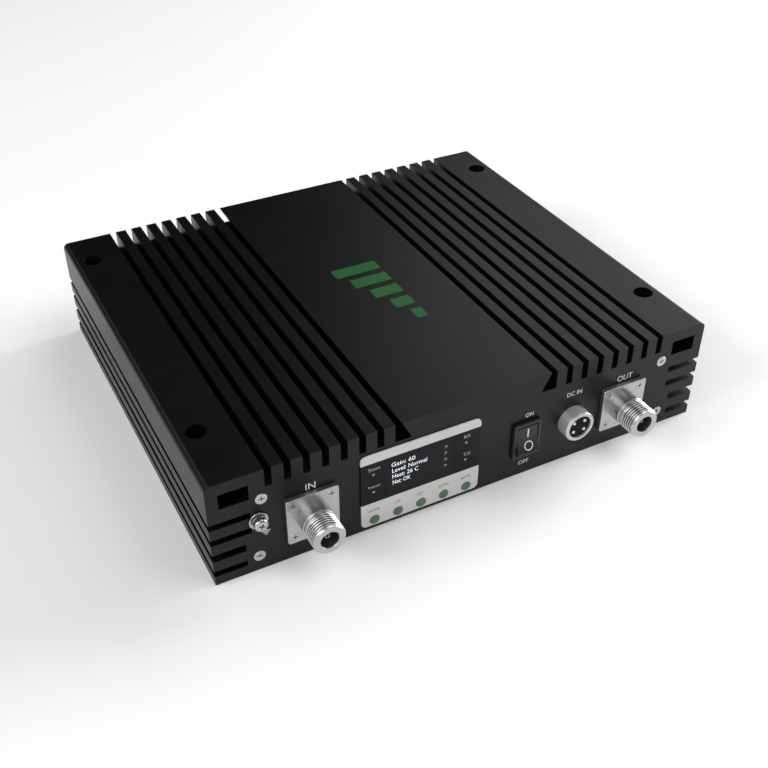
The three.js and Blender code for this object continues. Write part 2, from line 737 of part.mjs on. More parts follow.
/** A round lead that follows a smooth curve through the given points. */
function lead(name, points, radius, finish) {
  const path = new THREE.CatmullRomCurve3(points.map(([x, y, z]) => new THREE.Vector3(x, y, z)));
  const options = { steps: LEAD.steps, bevelEnabled: false, extrudePath: path };
  return part(name, new THREE.ExtrudeGeometry(disc(0, 0, radius, LEAD.sides), options), finish);
}

/** The two coaxial leads from the ports to the filters. */
function coaxialLeads() {
  const start = PORT_CONTACT.tail + LEAD.gap;
  const end = FILTER.front - LEAD.gap;
  const [service, donor] = PORTS;
  const run = (from, to) => [
    [from, start, PORT_HEIGHT],
    [from, start + LEAD.straight, PORT_HEIGHT],
    [to, end - LEAD.straight, PORT_HEIGHT],
    [to, end, PORT_HEIGHT],
  ];
  return [
    lead('service_coax', run(service.x, -FILTER.x), LEAD.coaxRadius, 'nickel'),
    lead('donor_coax', run(donor.x, FILTER.x), LEAD.coaxRadius, 'nickel'),
  ];
}

/** The harness from the power socket, over and down into the inlet on the main board. */
function powerHarness() {
  const middle = (INLET.front + INLET.back) / 2;
  const inletTop = MAIN_BOARD.low + MAIN_BOARD.thickness + INLET.height + SINK;
  const route = [
    [POWER.x, POWER_PIN.tail + LEAD.gap, POWER.z],
    [POWER.x, middle - 12, POWER.z + 3],
    [POWER.x, middle - 2, POWER.z + 4],
    [POWER.x, middle, POWER.z],
    [POWER.x, middle, inletTop],
  ];
  return lead('power_harness', route, LEAD.harnessRadius, 'darkResin');
}

// ---------------------------------------------------------------- the unit

function signalBooster() {
  const unit = new THREE.Group();
  unit.position.y = (PORT.reach - CASE.depth) / 2;
  unit.add(
    heatsinkHousing(),
    basePlate(),
    frontPanel(),
    rearPanel(),
    ...panelScrews(),
    ...PORTS.map(antennaPort),
    powerSocket(),
    rockerSwitch(),
    membrane(),
    ...keys(),
    ...lightPipes(),
    displayModule(),
    keyboard(),
    groundTerminal(),
    mainBoard(),
    cavityFilter('service_filter', -FILTER.x),
    cavityFilter('donor_filter', FILTER.x),
    shieldCan(),
    ...coaxialLeads(),
    powerHarness(),
  );
  return unit;
}

const root = new THREE.Group();
root.add(signalBooster());

export default root;
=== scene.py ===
"""Cellular signal booster, finished around its packed frame.

A finned black extrusion with two end plates and a bottom plate. The front plate carries two antenna
sockets, a four-pin power socket, a rocker switch, a ground terminal and a membrane panel with a small
display, four indicators and five keys. Metres, +Z up, the front faces -Y.
"""
import math

import bmesh
import bpy
from bpy.props import FloatProperty, FloatVectorProperty, IntProperty, PointerProperty
from mathutils import Matrix, Vector


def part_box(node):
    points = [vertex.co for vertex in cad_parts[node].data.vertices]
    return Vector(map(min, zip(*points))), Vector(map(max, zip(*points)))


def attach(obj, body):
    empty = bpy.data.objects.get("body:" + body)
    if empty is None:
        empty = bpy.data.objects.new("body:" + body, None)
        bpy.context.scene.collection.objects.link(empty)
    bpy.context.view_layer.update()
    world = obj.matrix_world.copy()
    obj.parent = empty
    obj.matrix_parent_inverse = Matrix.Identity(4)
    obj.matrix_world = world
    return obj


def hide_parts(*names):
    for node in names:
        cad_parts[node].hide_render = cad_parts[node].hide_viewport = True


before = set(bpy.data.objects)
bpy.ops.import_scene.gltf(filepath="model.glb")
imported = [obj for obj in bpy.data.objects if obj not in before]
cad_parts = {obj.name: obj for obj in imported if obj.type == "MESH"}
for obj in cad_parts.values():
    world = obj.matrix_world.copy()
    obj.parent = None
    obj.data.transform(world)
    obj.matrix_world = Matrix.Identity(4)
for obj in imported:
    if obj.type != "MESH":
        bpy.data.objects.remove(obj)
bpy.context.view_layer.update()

bl_info = {
    "name": "Signal booster",
    "version": (1, 0, 0),
    "blender": (4, 5, 0),
    "location": "3D View > Sidebar > Booster",
    "description": "Builds a finned signal booster, its front panel hardware and its studio",
    "category": "Object",
}


def mm(value):
    return value * 0.001


def in_mm(*points):
    """Points or rows that are given in millimetres."""
    return [tuple(mm(value) for value in point) for point in points]


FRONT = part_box("front_panel")[0].y  # face of the front plate
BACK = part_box("rear_panel")[1].y
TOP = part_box("front_panel")[1].z
HALF_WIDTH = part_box("front_panel")[1].x
PROUD = mm(0.03)  # how far printing stands off its surface
QUARTER = math.pi / 2
FULL = 2 * math.pi


# ---------------------------------------------------------------- settings


def length(name, text, value):
    return FloatProperty(name=name, description=text, default=mm(value), unit="LENGTH", precision=5)


def count(name, text, value):
    return IntProperty(name=name, description=text, default=value, min=1)


def colour(name, text, value):
    return FloatVectorProperty(
        name=name, description=text, default=value, size=3, subtype="COLOR", min=0.0, max=1.0
    )


class BoosterCase(bpy.types.PropertyGroup):
    """Section of the extrusion and of the end plates."""

    corner: length("Corner radius", "Radius of the two long top corners", 3.0)
    block: length("Corner block", "Width of the solid block at each side of the top", 26.6)
    slots: count("Top slots", "Slots between a corner block and the plateau", 8)
    pitch: length("Slot pitch", "Distance from one top slot to the next", 8.9)
    slot_width: length("Slot width", "Width of a top slot", 3.4)
    slot_depth: length("Slot depth", "Depth of a top slot", 9.8)
    lean: length("Plateau undercut", "How far the plateau's flank leans in at the slot floor", 5.0)
    channel_inner: length("Channel inner", "Near side of the channel in a corner block", 112.8)
    channel_outer: length("Channel outer", "Far side of the channel in a corner block", 126.4)
    channel_low: length("Channel floor", "Height of the channel's floor", 43.0)
    channel_high: length("Channel roof", "Height of the channel's roof", 51.0)
    bolt_x: length("Bolt hole place", "Distance of the bolt holes from the middle", 122.0)
    bolt_front: length("Front bolt holes", "Distance of the front bolt holes from the front", 36.5)
    bolt_back: length("Back bolt holes", "Distance of the back bolt holes from the front", 201.0)
    bolt_radius: length("Bolt hole radius", "Radius of the four bolt holes", 5.0)
    edge: length("Edge break", "Width of the break along machined edges", 0.16)


class BoosterPorts(bpy.types.PropertyGroup):
    """The two antenna sockets."""

    pitch: length("Thread pitch", "Pitch of the coupling thread", 1.4)
    thread: length("Thread depth", "Depth of the coupling thread", 0.58)
    steps: count("Roundness", "Steps round a turned part", 96)


class BoosterFinish(bpy.types.PropertyGroup):
    """Colours of the finishes."""

    anodised: colour("Black anodising", "Case and plates", (0.0020, 0.0020, 0.0021))
    nickel: colour("Nickel plate", "Antenna and power sockets", (0.47, 0.475, 0.47))
    zinc: colour("Zinc plate", "Screws and washers", (0.50, 0.505, 0.50))
    plastic: colour("Black plastic", "Switch", (0.012, 0.012, 0.013))
    membrane: colour("Membrane", "Light zones of the membrane panel", (0.62, 0.62, 0.61))
    window: colour("Window", "Dark zone of the membrane panel", (0.010, 0.010, 0.012))
    key: colour("Key", "Five round keys", (0.052, 0.155, 0.082))
    ink: colour("White ink", "Printing on the front plate", (0.72, 0.72, 0.70))
    emblem: colour("Emblem", "Printing on the plateau", (0.0025, 0.075, 0.010))


class BoosterStage(bpy.types.PropertyGroup):
    """Camera and floor."""

    azimuth: FloatProperty(
        name="Azimuth", description="Camera's turn from straight ahead", default=27.639
    )
    elevation: FloatProperty(
        name="Elevation", description="Camera's height above the horizon", default=37.024
    )
    lens: FloatProperty(name="Lens", description="Focal length in millimetres", default=50.0)
    station: FloatVectorProperty(
        name="Station",
        description="Where the camera stands",
        default=(-0.21523, -0.42088, 0.35223),
        size=3,
        subtype="TRANSLATION",
    )
    floor: colour("Floor", "Pale floor under the booster", (0.86, 0.86, 0.86))


GROUPS = {
    "booster_case": BoosterCase,
    "booster_ports": BoosterPorts,
    "booster_finish": BoosterFinish,
    "booster_stage": BoosterStage,
}


def settings(group):
    return getattr(bpy.context.scene, group)


# ---------------------------------------------------------------- shader groups


def add_node(tree, kind, values=None, **attributes):
    node = tree.nodes.new(kind)
    for key, value in attributes.items():
        setattr(node, key, value)
    for key, value in (values or {}).items():
        node.inputs[key].default_value = value
    return node


def new_group(name, inputs, outputs):
    """An empty shader group with float inputs (name: default) and outputs (name: socket type)."""
    tree = bpy.data.node_groups.new(name, "ShaderNodeTree")
    for key, value in inputs.items():
        socket = tree.interface.new_socket(key, in_out="INPUT", socket_type="NodeSocketFloat")
        socket.default_value = value
    for key, kind in outputs.items():
        tree.interface.new_socket(key, in_out="OUTPUT", socket_type=kind)
    return tree, tree.nodes.new("NodeGroupInput"), tree.nodes.new("NodeGroupOutput")


def mottle_group():
    """Broad uneven patches and a fine grain, both from 0 to 1."""
    name = "Mottle and grain"
    if name in bpy.data.node_groups:
        return bpy.data.node_groups[name]
    outputs = {"Patches": "NodeSocketFloat", "Grain": "NodeSocketFloat"}
    tree, given, result = new_group(name, {"Patch Scale": 40.0, "Grain Scale": 2500.0}, outputs)
    place = add_node(tree, "ShaderNodeTexCoord")
    patches = add_node(tree, "ShaderNodeTexNoise", {"Detail": 3.0, "Roughness": 0.6})
    grain = add_node(tree, "ShaderNodeTexNoise", {"Detail": 2.0, "Roughness": 0.7})
    for noise, scale in ((patches, "Patch Scale"), (grain, "Grain Scale")):
        tree.links.new(place.outputs["Object"], noise.inputs["Vector"])
        tree.links.new(given.outputs[scale], noise.inputs["Scale"])
    tree.links.new(patches.outputs["Fac"], result.inputs["Patches"])
    tree.links.new(grain.outputs["Fac"], result.inputs["Grain"])
    return tree


def edge_group():
    """A mask that is 1 along sharp edges, where a finish wears thin."""
    name = "Worn edges"
    if name in bpy.data.node_groups:
        return bpy.data.node_groups[name]
    tree, given, result = new_group(name, {"Width": mm(0.25), "Amount": 1.0}, {"Mask": "NodeSocketFloat"})
    rounded = add_node(tree, "ShaderNodeBevel", samples=4)
    flat = add_node(tree, "ShaderNodeNewGeometry")
    agree = add_node(tree, "ShaderNodeVectorMath", operation="DOT_PRODUCT")
    turn = add_node(tree, "ShaderNodeMapRange", {"From Min": 0.98, "From Max": 0.82})
    scaled = add_node(tree, "ShaderNodeMath", operation="MULTIPLY")
    tree.links.new(given.outputs["Width"], rounded.inputs["Radius"])
    tree.links.new(rounded.outputs["Normal"], agree.inputs[0])
    tree.links.new(flat.outputs["Normal"], agree.inputs[1])
    tree.links.new(agree.outputs["Value"], turn.inputs["Value"])
    tree.links.new(turn.outputs["Result"], scaled.inputs[0])
    tree.links.new(given.outputs["Amount"], scaled.inputs[1])
    tree.links.new(scaled.outputs["Value"], result.inputs["Mask"])
    return tree


# ---------------------------------------------------------------- finishes


def tinted(base, factor):
    return tuple(min(1.0, channel * factor) for channel in base) + (1.0,)


def finish(name, base, rough, spread=0.15, patch=40.0, grain=2500.0, bump=0.02, wear=0.0, **sockets):
    """A finish whose colour, gloss and surface vary. rough is its (lowest, highest) roughness, spread
    how much its colour varies, bump the height of its grain in millimetres and wear how far its edges
    lighten."""
    if name in bpy.data.materials:
        return bpy.data.materials[name]
    material = bpy.data.materials.new(name)
    material.use_nodes = True
    tree = material.node_tree
    tree.nodes.clear()
    output = add_node(tree, "ShaderNodeOutputMaterial")
    shader = add_node(tree, "ShaderNodeBsdfPrincipled", sockets)
    noise = add_node(tree, "ShaderNodeGroup", node_tree=mottle_group())
    noise.inputs["Patch Scale"].default_value = patch
    noise.inputs["Grain Scale"].default_value = grain
    tone = add_node(tree, "ShaderNodeMix", data_type="RGBA")
    tone.inputs[6].default_value = tinted(base, 1.0 - spread)
    tone.inputs[7].default_value = tinted(base, 1.0 + spread)
    gloss = add_node(tree, "ShaderNodeMapRange", {"From Min": 0.3, "From Max": 0.7})
    gloss.inputs["To Min"].default_value, gloss.inputs["To Max"].default_value = rough
    relief = add_node(tree, "ShaderNodeBump", {"Strength": 1.0, "Distance": mm(bump)})
    link = tree.links.new
    link(noise.outputs["Patches"], tone.inputs["Factor"])
    link(noise.outputs["Patches"], gloss.inputs["Value"])
    link(noise.outputs["Grain"], relief.inputs["Height"])
    link(gloss.outputs["Result"], shader.inputs["Roughness"])
    link(relief.outputs["Normal"], shader.inputs["Normal"])
    link(shader.outputs["BSDF"], output.inputs["Surface"])
    if wear:
        worn = add_node(tree, "ShaderNodeGroup", node_tree=edge_group())
        worn.inputs["Amount"].default_value = wear
        bare = add_node(tree, "ShaderNodeMix", data_type="RGBA")
        bare.inputs[7].default_value = tinted([channel + 0.05 for channel in base], 1.0)
        link(worn.outputs["Mask"], bare.inputs["Factor"])
        link(tone.outputs[2], bare.inputs[6])
        link(bare.outputs[2], shader.inputs["Base Color"])
    else:
        link(tone.outputs[2], shader.inputs["Base Color"])
    return material


LIT = {"Emission Color": (0.85, 0.90, 1.0, 1.0), "Emission Strength": 0.55}
FINISHES = {
    "Black anodising": ("anodised", (0.35, 0.38), dict(spread=0.25, bump=0.003, wear=0.10, IOR=1.34)),
    "Nickel plate": ("nickel", (0.30, 0.37), dict(spread=0.04, bump=0.002, Metallic=1.0)),
    # nickel darkened in the grooves of the thread: painted shade
    "Thread root": ((0.035, 0.035, 0.034), (0.45, 0.55), dict(spread=0.2, bump=0.004, Metallic=0.6)),
    "Satin nickel": ((0.60, 0.605, 0.60), (0.32, 0.40), dict(spread=0.05, bump=0.003, Metallic=0.65)),
    "Pin plate": ((0.85, 0.85, 0.84), (0.30, 0.38), dict(spread=0.03, bump=0.002, Metallic=0.35)),
    "Zinc plate": ("zinc", (0.26, 0.38), dict(spread=0.10, patch=400.0, bump=0.004, Metallic=1.0)),
    # near black: painted shade of the deep bore on the insulating ring
    "Port resin": ((0.012, 0.012, 0.012), (0.42, 0.52), dict(spread=0.15, bump=0.004)),
    "Silver plate": ((0.60, 0.60, 0.58), (0.24, 0.34), dict(spread=0.05, bump=0.002, Metallic=1.0)),
    "Dark resin": ((0.004, 0.004, 0.004), (0.50, 0.62), dict(spread=0.25, bump=0.008, IOR=1.2)),
    "Black plastic": ("plastic", (0.34, 0.46), dict(spread=0.2, grain=4000.0, bump=0.010, IOR=1.45)),
    "Membrane film": ("membrane", (0.38, 0.48), dict(spread=0.03, grain=5000.0, bump=0.004)),
    "Window film": ("window", (0.26, 0.34), dict(spread=0.15, grain=5000.0, bump=0.002, IOR=1.2)),
    "Display film": ((0.010, 0.010, 0.014), (0.16, 0.22), dict(spread=0.10, bump=0.001, IOR=1.22)),
    "Key rubber": ("key", (0.40, 0.52), dict(spread=0.30, patch=300.0, bump=0.008)),
    "Clear resin": ((0.30, 0.31, 0.31), (0.12, 0.20), dict(spread=0.08, bump=0.002, IOR=1.5)),
    "White ink": ("ink", (0.50, 0.60), dict(spread=0.10, patch=900.0, bump=0.003)),
    "Grey ink": ((0.14, 0.14, 0.14), (0.50, 0.60), dict(spread=0.15, patch=900.0, bump=0.003)),
    "Pale ink": ((0.40, 0.40, 0.40), (0.50, 0.60), dict(spread=0.10, patch=900.0, bump=0.003)),
    "Emblem ink": ("emblem", (0.40, 0.50), dict(spread=0.20, bump=0.004)),
    # lit dots of the display
    "Display light": ((0.70, 0.72, 0.75), (0.40, 0.50), dict(spread=0.08, patch=1500.0, **LIT)),
    "Board lacquer": ((0.010, 0.065, 0.028), (0.30, 0.42), dict(spread=0.25, patch=120.0, bump=0.01)),
    "Milled silver": ((0.60, 0.61, 0.62), (0.28, 0.40), dict(spread=0.08, bump=0.006, Metallic=1.0)),
    "Tinned copper": ((0.66, 0.60, 0.52), (0.26, 0.36), dict(spread=0.10, bump=0.006, Metallic=1.0)),
    "Lead jacket": ((0.010, 0.010, 0.011), (0.42, 0.55), dict(spread=0.25, bump=0.01)),
}


def named_finish(name):
    base, rough, rest = FINISHES[name]
    if isinstance(base, str):
        base = getattr(settings("booster_finish"), base)
    return finish(name, base, rough, **rest)


# ---------------------------------------------------------------- shaping


def block(x0, x1, y0, y1, z0, z1):
    bm = bmesh.new()
    bmesh.ops.create_cube(bm, size=1.0)
    bmesh.ops.scale(bm, vec=(x1 - x0, y1 - y0, z1 - z0), verts=bm.verts)
    bmesh.ops.translate(bm, vec=((x0 + x1) / 2, (y0 + y1) / 2, (z0 + z1) / 2), verts=bm.verts)
    return bm


def moved_vertices(geometry):
    return [item for item in geometry if isinstance(item, bmesh.types.BMVert)]


def pulled(bm, start, end):
    """The flat faces of bm, standing in the XZ plane, pulled into a solid from one y to another."""
    bmesh.ops.translate(bm, vec=(0, start, 0), verts=bm.verts)
    made = bmesh.ops.extrude_face_region(bm, geom=bm.faces[:])
    bmesh.ops.translate(bm, vec=(0, end - start, 0), verts=moved_vertices(made["geom"]))
    bmesh.ops.recalc_face_normals(bm, faces=bm.faces)
    return bm


def outlined(points, start, end):
    """A closed outline of (x, z) points pulled along Y."""
    bm = bmesh.new()
    bm.faces.new([bm.verts.new((x, 0, z)) for x, z in points])
    return pulled(bm, start, end)


def plate(width, height, radius, start, end):
    """A flat plate with round corners about the Y axis."""
    bm = bmesh.new()
    bmesh.ops.create_grid(bm, x_segments=1, y_segments=1, size=0.5)
    bmesh.ops.scale(bm, vec=(width, height, 1), verts=bm.verts)
    bmesh.ops.bevel(
        bm, geom=bm.verts[:], offset=radius, segments=8, profile=0.5, affect="VERTICES", material=-1
    )
    bmesh.ops.rotate(bm, matrix=Matrix.Rotation(QUARTER, 3, "X"), verts=bm.verts)
    return pulled(bm, start, end)


def turned(outline, steps=48, angle=FULL, rise=0.0):
    """(radius, y) points turned about the Y axis. A partial turn keeps open ends."""
    bm = bmesh.new()
    verts = [bm.verts.new((radius, y, 0)) for radius, y in outline]
    edges = [bm.edges.new(pair) for pair in zip(verts, verts[1:])]
    bmesh.ops.spin(
        bm,
        geom=verts + edges,
        cent=(0, 0, 0),
        axis=(0, 1, 0),
        dvec=(0, rise / steps, 0),
        angle=angle,
        steps=steps,
        use_merge=angle == FULL,
    )
    bmesh.ops.remove_doubles(bm, verts=bm.verts, dist=mm(0.0005))
    bmesh.ops.recalc_face_normals(bm, faces=bm.faces)
    return bm


def cylinder(radius, start, end, steps=32):
    return turned([(0, start), (radius, start), (radius, end), (0, end)], steps)


def put(bm, x=0.0, y=0.0, z=0.0):
    bmesh.ops.translate(bm, vec=(x, y, z), verts=bm.verts)
    return bm


def turn(bm, angle, axis):
    bmesh.ops.rotate(bm, matrix=Matrix.Rotation(angle, 3, axis), verts=bm.verts)
    return bm


def together(*parts):
    """Separate shapes in one bmesh."""
    whole = bmesh.new()
    for bm in parts:
        mesh = bpy.data.meshes.new("part")
        bm.to_mesh(mesh)
        bm.free()
        whole.from_mesh(mesh)
        bpy.data.meshes.remove(mesh)
    return whole


def work_object(bm):
    mesh = bpy.data.meshes.new("work")
    bm.to_mesh(mesh)
    bm.free()
    obj = bpy.data.objects.new("work", mesh)
    bpy.context.scene.collection.objects.link(obj)
    return obj


def combined(base, tool, operation="DIFFERENCE"):
    """The base cut by, joined with or kept inside the tool."""
    base, tool = work_object(base), work_object(tool)
    modifier = base.modifiers.new("work", "BOOLEAN")
    modifier.operation = operation
    modifier.object = tool
    modifier.solver = "EXACT"
    shaped = base.evaluated_get(bpy.context.evaluated_depsgraph_get())
    result = bmesh.new()
    result.from_mesh(shaped.to_mesh())
    shaped.to_mesh_clear()
    for obj in (base, tool):
        mesh = obj.data
        bpy.data.objects.remove(obj)
        bpy.data.meshes.remove(mesh)
    return result


def softened(bm, width, segments=2, angle=35.0, spared=()):
    """Breaks every edge sharper than angle, but not those that lie at one of the spared y."""

    def at_spared(edge):
        return any(all(abs(v.co.y - y) < mm(0.01) for v in edge.verts) for y in spared)

    sharp = [
        edge
        for edge in bm.edges
        if edge.is_manifold and edge.calc_face_angle(0) > math.radians(angle) and not at_spared(edge)
    ]
    bmesh.ops.bevel(
        bm,
        geom=sharp,
        offset=width,
        segments=segments,
        profile=0.5,
        affect="EDGES",
        clamp_overlap=True,
        material=-1,
    )
    return bm


def piece(name, bm, slot, *finishes, body="case", replaces=(), smooth=40.0):
    """bm as a finished piece that rides on its body and stands for CAD nodes."""
    mesh = bpy.data.meshes.new(name)
    bm.to_mesh(mesh)
    bm.free()
    for each in finishes:
        mesh.materials.append(named_finish(each))
    mesh.shade_smooth()
    mesh.set_sharp_from_angle(angle=math.radians(smooth))
    obj = bpy.data.objects.new(name, mesh)
    bpy.context.scene.collection.objects.link(obj)
    weighted = obj.modifiers.new("Weighted normals", "WEIGHTED_NORMAL")
    weighted.keep_sharp = True
    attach(obj, body)
    if replaces:
        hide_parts(*replaces)
    return obj


def middle(node):
    low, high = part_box(node)
    return (low + high) / 2


# ---------------------------------------------------------------- case


# low edge, high edge and floor of each slot in the sides
SIDE_SLOTS = in_mm((5.0, 8.2, 116.4), (14.0, 17.9, 116.4), (23.6, 26.8, 113.0), (32.4, 35.6, 113.0))
# right half of the hollow, from the rebate for the bottom plate up to the ceiling
HOLLOW = in_mm(
    (109.0, 0), (109.0, 3.2), (102.5, 3.2), (102.5, 9.5), (108.5, 9.5), (108.5, 35.0), (101.0, 43.0)
)
CORNER_STEPS = 10
PAST = mm(1)  # how far a cutting tool reaches past what it cuts
PLATE_SEAT = mm(4)  # depth of a screw's tool in an end plate


def finned_half():
    """Right half of the section's outside, from the bottom up to the plateau."""
    case = settings("booster_case")
    points = [(HALF_WIDTH, 0.0)]
    for low, high, floor in SIDE_SLOTS:
        points += [(HALF_WIDTH, low), (floor, low), (floor, high), (HALF_WIDTH, high)]
    for step in range(CORNER_STEPS + 1):
        angle = QUARTER * step / CORNER_STEPS
        x = HALF_WIDTH - case.corner + case.corner * math.cos(angle)
        points.append((x, TOP - case.corner + case.corner * math.sin(angle)))
    floor = TOP - case.slot_depth
    for number in range(case.slots):
        outer = HALF_WIDTH - case.block - number * case.pitch
        inner = outer - case.slot_width
        lean = case.lean if number == case.slots - 1 else 0.0
        points += [(outer, TOP), (outer, floor), (inner - lean, floor), (inner, TOP)]
    return points


def both_sides(half):
    return half + [(-x, z) for x, z in reversed(half)]


def housing_outline():
    """The outside from one bottom corner over to the other, then back through the hollow."""
    return both_sides(finned_half()) + [(-x, z) for x, z in HOLLOW] + list(reversed(HOLLOW))


def channels():
    case = settings("booster_case")
    sides = ((case.channel_inner, case.channel_outer), (-case.channel_outer, -case.channel_inner))
    return together(
        *(block(a, b, FRONT - PAST, BACK + PAST, case.channel_low, case.channel_high) for a, b in sides)
    )


def bolt_drills():
    case = settings("booster_case")
    drills = []
    for x in (-case.bolt_x, case.bolt_x):
        for y in (FRONT + case.bolt_front, FRONT + case.bolt_back):
            drill = cylinder(case.bolt_radius, -PAST, TOP + PAST, steps=48)
            drills.append(put(turn(drill, QUARTER, "X"), x, y))
    return together(*drills)


class BOOSTER_OT_housing(bpy.types.Operator):
    """The finned extrusion with its hollow, its two channels and its four bolt holes"""

    bl_idname = "booster.housing"
    bl_label = "Finned housing"

    def execute(self, context):
        low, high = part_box("heatsink_housing")
        bm = combined(outlined(housing_outline(), low.y, high.y), channels())
        bm = combined(bm, bolt_drills())
        softened(bm, settings("booster_case").edge, spared=(low.y, high.y))
        piece("finned_housing", bm, "black_anodised", "Black anodising", replaces=["heatsink_housing"])
        return {"FINISHED"}


def screw_places(prefix):
    """Names and middles of the four screws of an end plate."""
    names = [f"{prefix}_panel_screw_{number}" for number in range(1, 5)]
    return [(name, middle(name)) for name in names]


SEAT_DEPTH = mm(1.7)
SEAT_MOUTH = mm(3.08)
SEAT_HOLE = mm(1.7)


def countersink(depth, mouth=SEAT_MOUTH, hole=SEAT_HOLE, seat=SEAT_DEPTH):
    """Tool for a flat-head screw's seat, its mouth at y = 0 and its hole along +Y."""
    outline = [(0, depth + PAST), (hole, depth + PAST), (hole, seat), (mouth, 0), (mouth, -PAST), (0, -PAST)]
    return turned(outline, steps=48)


def hole(node, radius, steps=48):
    """Tool for a round hole through the front plate behind a node."""
    at = middle(node)
    low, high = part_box("front_panel")
    return put(cylinder(radius, low.y - PAST, high.y + PAST, steps), at.x, 0, at.z)


def opening(node, across, up):
    """Tool for a rectangular hole through the front plate, behind a node and this much narrower."""
    low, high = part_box(node)
    near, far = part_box("front_panel")
    return block(low.x + across, high.x - across, near.y - PAST, far.y + PAST, low.z + up, high.z - up)


def front_plate_tools():
    tools = [channels()]
    for port in PORTS:
        tools.append(hole(f"{port}_body", mm(8.2), steps=96))
        tools += [hole(f"{port}_screw_{number}", mm(1.55)) for number in range(1, 5)]
    tools.append(hole("power_socket_shell", mm(7.2), steps=96))
    tools.append(opening("switch_body", mm(0.8), mm(0.5)))
    tools.append(opening("display_module", mm(1.5), mm(1.5)))
    tools += [hole(name, mm(1.9)) for name in KEY_NODES]
    tools += [hole(name, mm(1.0)) for name in PIPE_NODES]
    tools.append(hole("ground_screw", mm(2.25)))
    for _, at in screw_places("front"):
        tools.append(put(countersink(PLATE_SEAT), at.x, FRONT, at.z))
    return together(*tools)


class BOOSTER_OT_front_plate(bpy.types.Operator):
    """The front plate with the seats and holes of everything that is fastened to it"""

    bl_idname = "booster.front_plate"
    bl_label = "Front plate"

    def execute(self, context):
        low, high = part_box("front_panel")
        bm = combined(outlined(both_sides(finned_half()), low.y, high.y), front_plate_tools())
        softened(bm, settings("booster_case").edge, spared=(high.y,))
        piece("front_plate", bm, "black_anodised", "Black anodising", replaces=["front_panel"])
        return {"FINISHED"}


class BOOSTER_OT_rear_plate(bpy.types.Operator):
    """The plain rear plate with its two channels and four screw seats"""

    bl_idname = "booster.rear_plate"
    bl_label = "Rear plate"

    def execute(self, context):
        low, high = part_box("rear_panel")
        tools = [channels()]
        for _, at in screw_places("rear"):
            tools.append(put(turn(countersink(PLATE_SEAT), math.pi, "Z"), at.x, BACK, at.z))
        bm = combined(outlined(both_sides(finned_half()), low.y, high.y), together(*tools))
        softened(bm, settings("booster_case").edge, spared=(low.y,))
        piece("rear_plate", bm, "black_anodised", "Black anodising", replaces=["rear_panel"])
        return {"FINISHED"}


class BOOSTER_OT_bottom_plate(bpy.types.Operator):
    """The bottom plate in its rebate, with the six screws that hold it"""

    bl_idname = "booster.bottom_plate"
    bl_label = "Bottom plate"

    def execute(self, context):
        low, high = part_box("base_plate")
        bm = block(low.x, high.x, low.y, high.y, low.z, high.z)
        side, end = mm(3.4), mm(12)  # the screws' distances from the plate's edges
        rows = (low.y + end, (low.y + high.y) / 2, high.y - end)
        places = [(x, y) for x in (low.x + side, high.x - side) for y in rows]
        seats = [put(turn(countersink(mm(3)), QUARTER, "X"), x, y) for x, y in places]
        bm = combined(bm, together(*seats))
        softened(bm, mm(0.3))
        piece("bottom_plate", bm, "black_anodised", "Black anodising", replaces=["base_plate"])
        for number, (x, y) in enumerate(places, 1):
            screw = turn(flat_head_screw(HEAD, SEAT_DEPTH, SHANK, mm(6), number), QUARTER, "X")
            piece(f"bottom_screw_{number}", put(screw, x, y), "zinc_steel", "Zinc plate")
        return {"FINISHED"}


# ---------------------------------------------------------------- screws


RECESS_ARM = mm(2.2)  # reach and half width of one arm of a cross recess
RECESS_HALF = mm(0.28)
RECESS_DEPTH = mm(1.1)
HEAD = mm(3)  # radius of the head that the recess is sized for
SHANK = mm(1.4)


def cross_recess(arm, half, depth, face=0.0):
    """Tool for a cross recess that narrows as it goes in from y = face."""
    bars = []
    for angle in (0.0, QUARTER):
        bar = block(-arm, arm, -mm(1), depth, -half, half)
        inner = [v for v in bar.verts if v.co.y > 0]
        bmesh.ops.scale(bar, vec=(0.45, 1, 0.7), verts=inner)
        bars.append(turn(bar, angle, "Y"))
    return put(combined(*bars, operation="UNION"), 0, face)


def flat_head_screw(head, seat, shank, reach, number):
    """A flat-head screw with its face at y = 0 and its shank along +Y, turned as it was driven home."""
    rim = mm(0.12)
    outline = [
        (0, reach),
        (shank - mm(0.3), reach),
        (shank, reach - mm(0.3)),
        (shank, seat),
        (head, rim * 2),
        (head, rim),
        (head - rim, 0),
        (0, 0),
    ]
    size = head / HEAD
    recess = cross_recess(RECESS_ARM * size, RECESS_HALF * size, RECESS_DEPTH * size)
    screw = combined(turned(outline), recess)
    return turn(screw, math.radians(7 * (number % 3) - 5), "Y")


class BOOSTER_OT_panel_screws(bpy.types.Operator):
    """The eight flat-head screws that hold the end plates"""

    bl_idname = "booster.panel_screws"
    bl_label = "End plate screws"

    def execute(self, context):
        for end, face in (("front", FRONT), ("rear", BACK)):
            for number, (name, at) in enumerate(screw_places(end), 1):
                low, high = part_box(name)
                screw = flat_head_screw((high.x - low.x) / 2, SEAT_DEPTH, SHANK, high.y - low.y, number)
                if end == "rear":
                    turn(screw, math.pi, "Z")
                put(screw, at.x, face, at.z)
                piece(f"{end}_screw_{number}", screw, "zinc_steel", "Zinc plate", replaces=[name])
        return {"FINISHED"}


# ---------------------------------------------------------------- antenna sockets


PORTS = ("service_port", "donor_port")
FLANGE_FRONT = mm(2.7)
THREAD_START = mm(11.1)  # distances forward of the front plate
THREAD_END = mm(18.7)
THREAD_FADE = mm(0.6)
THREAD_POINTS = 86
ROOT_SHARE = 0.55  # depth past which the groove is darkened with painted shade
BARREL = mm(7.9)


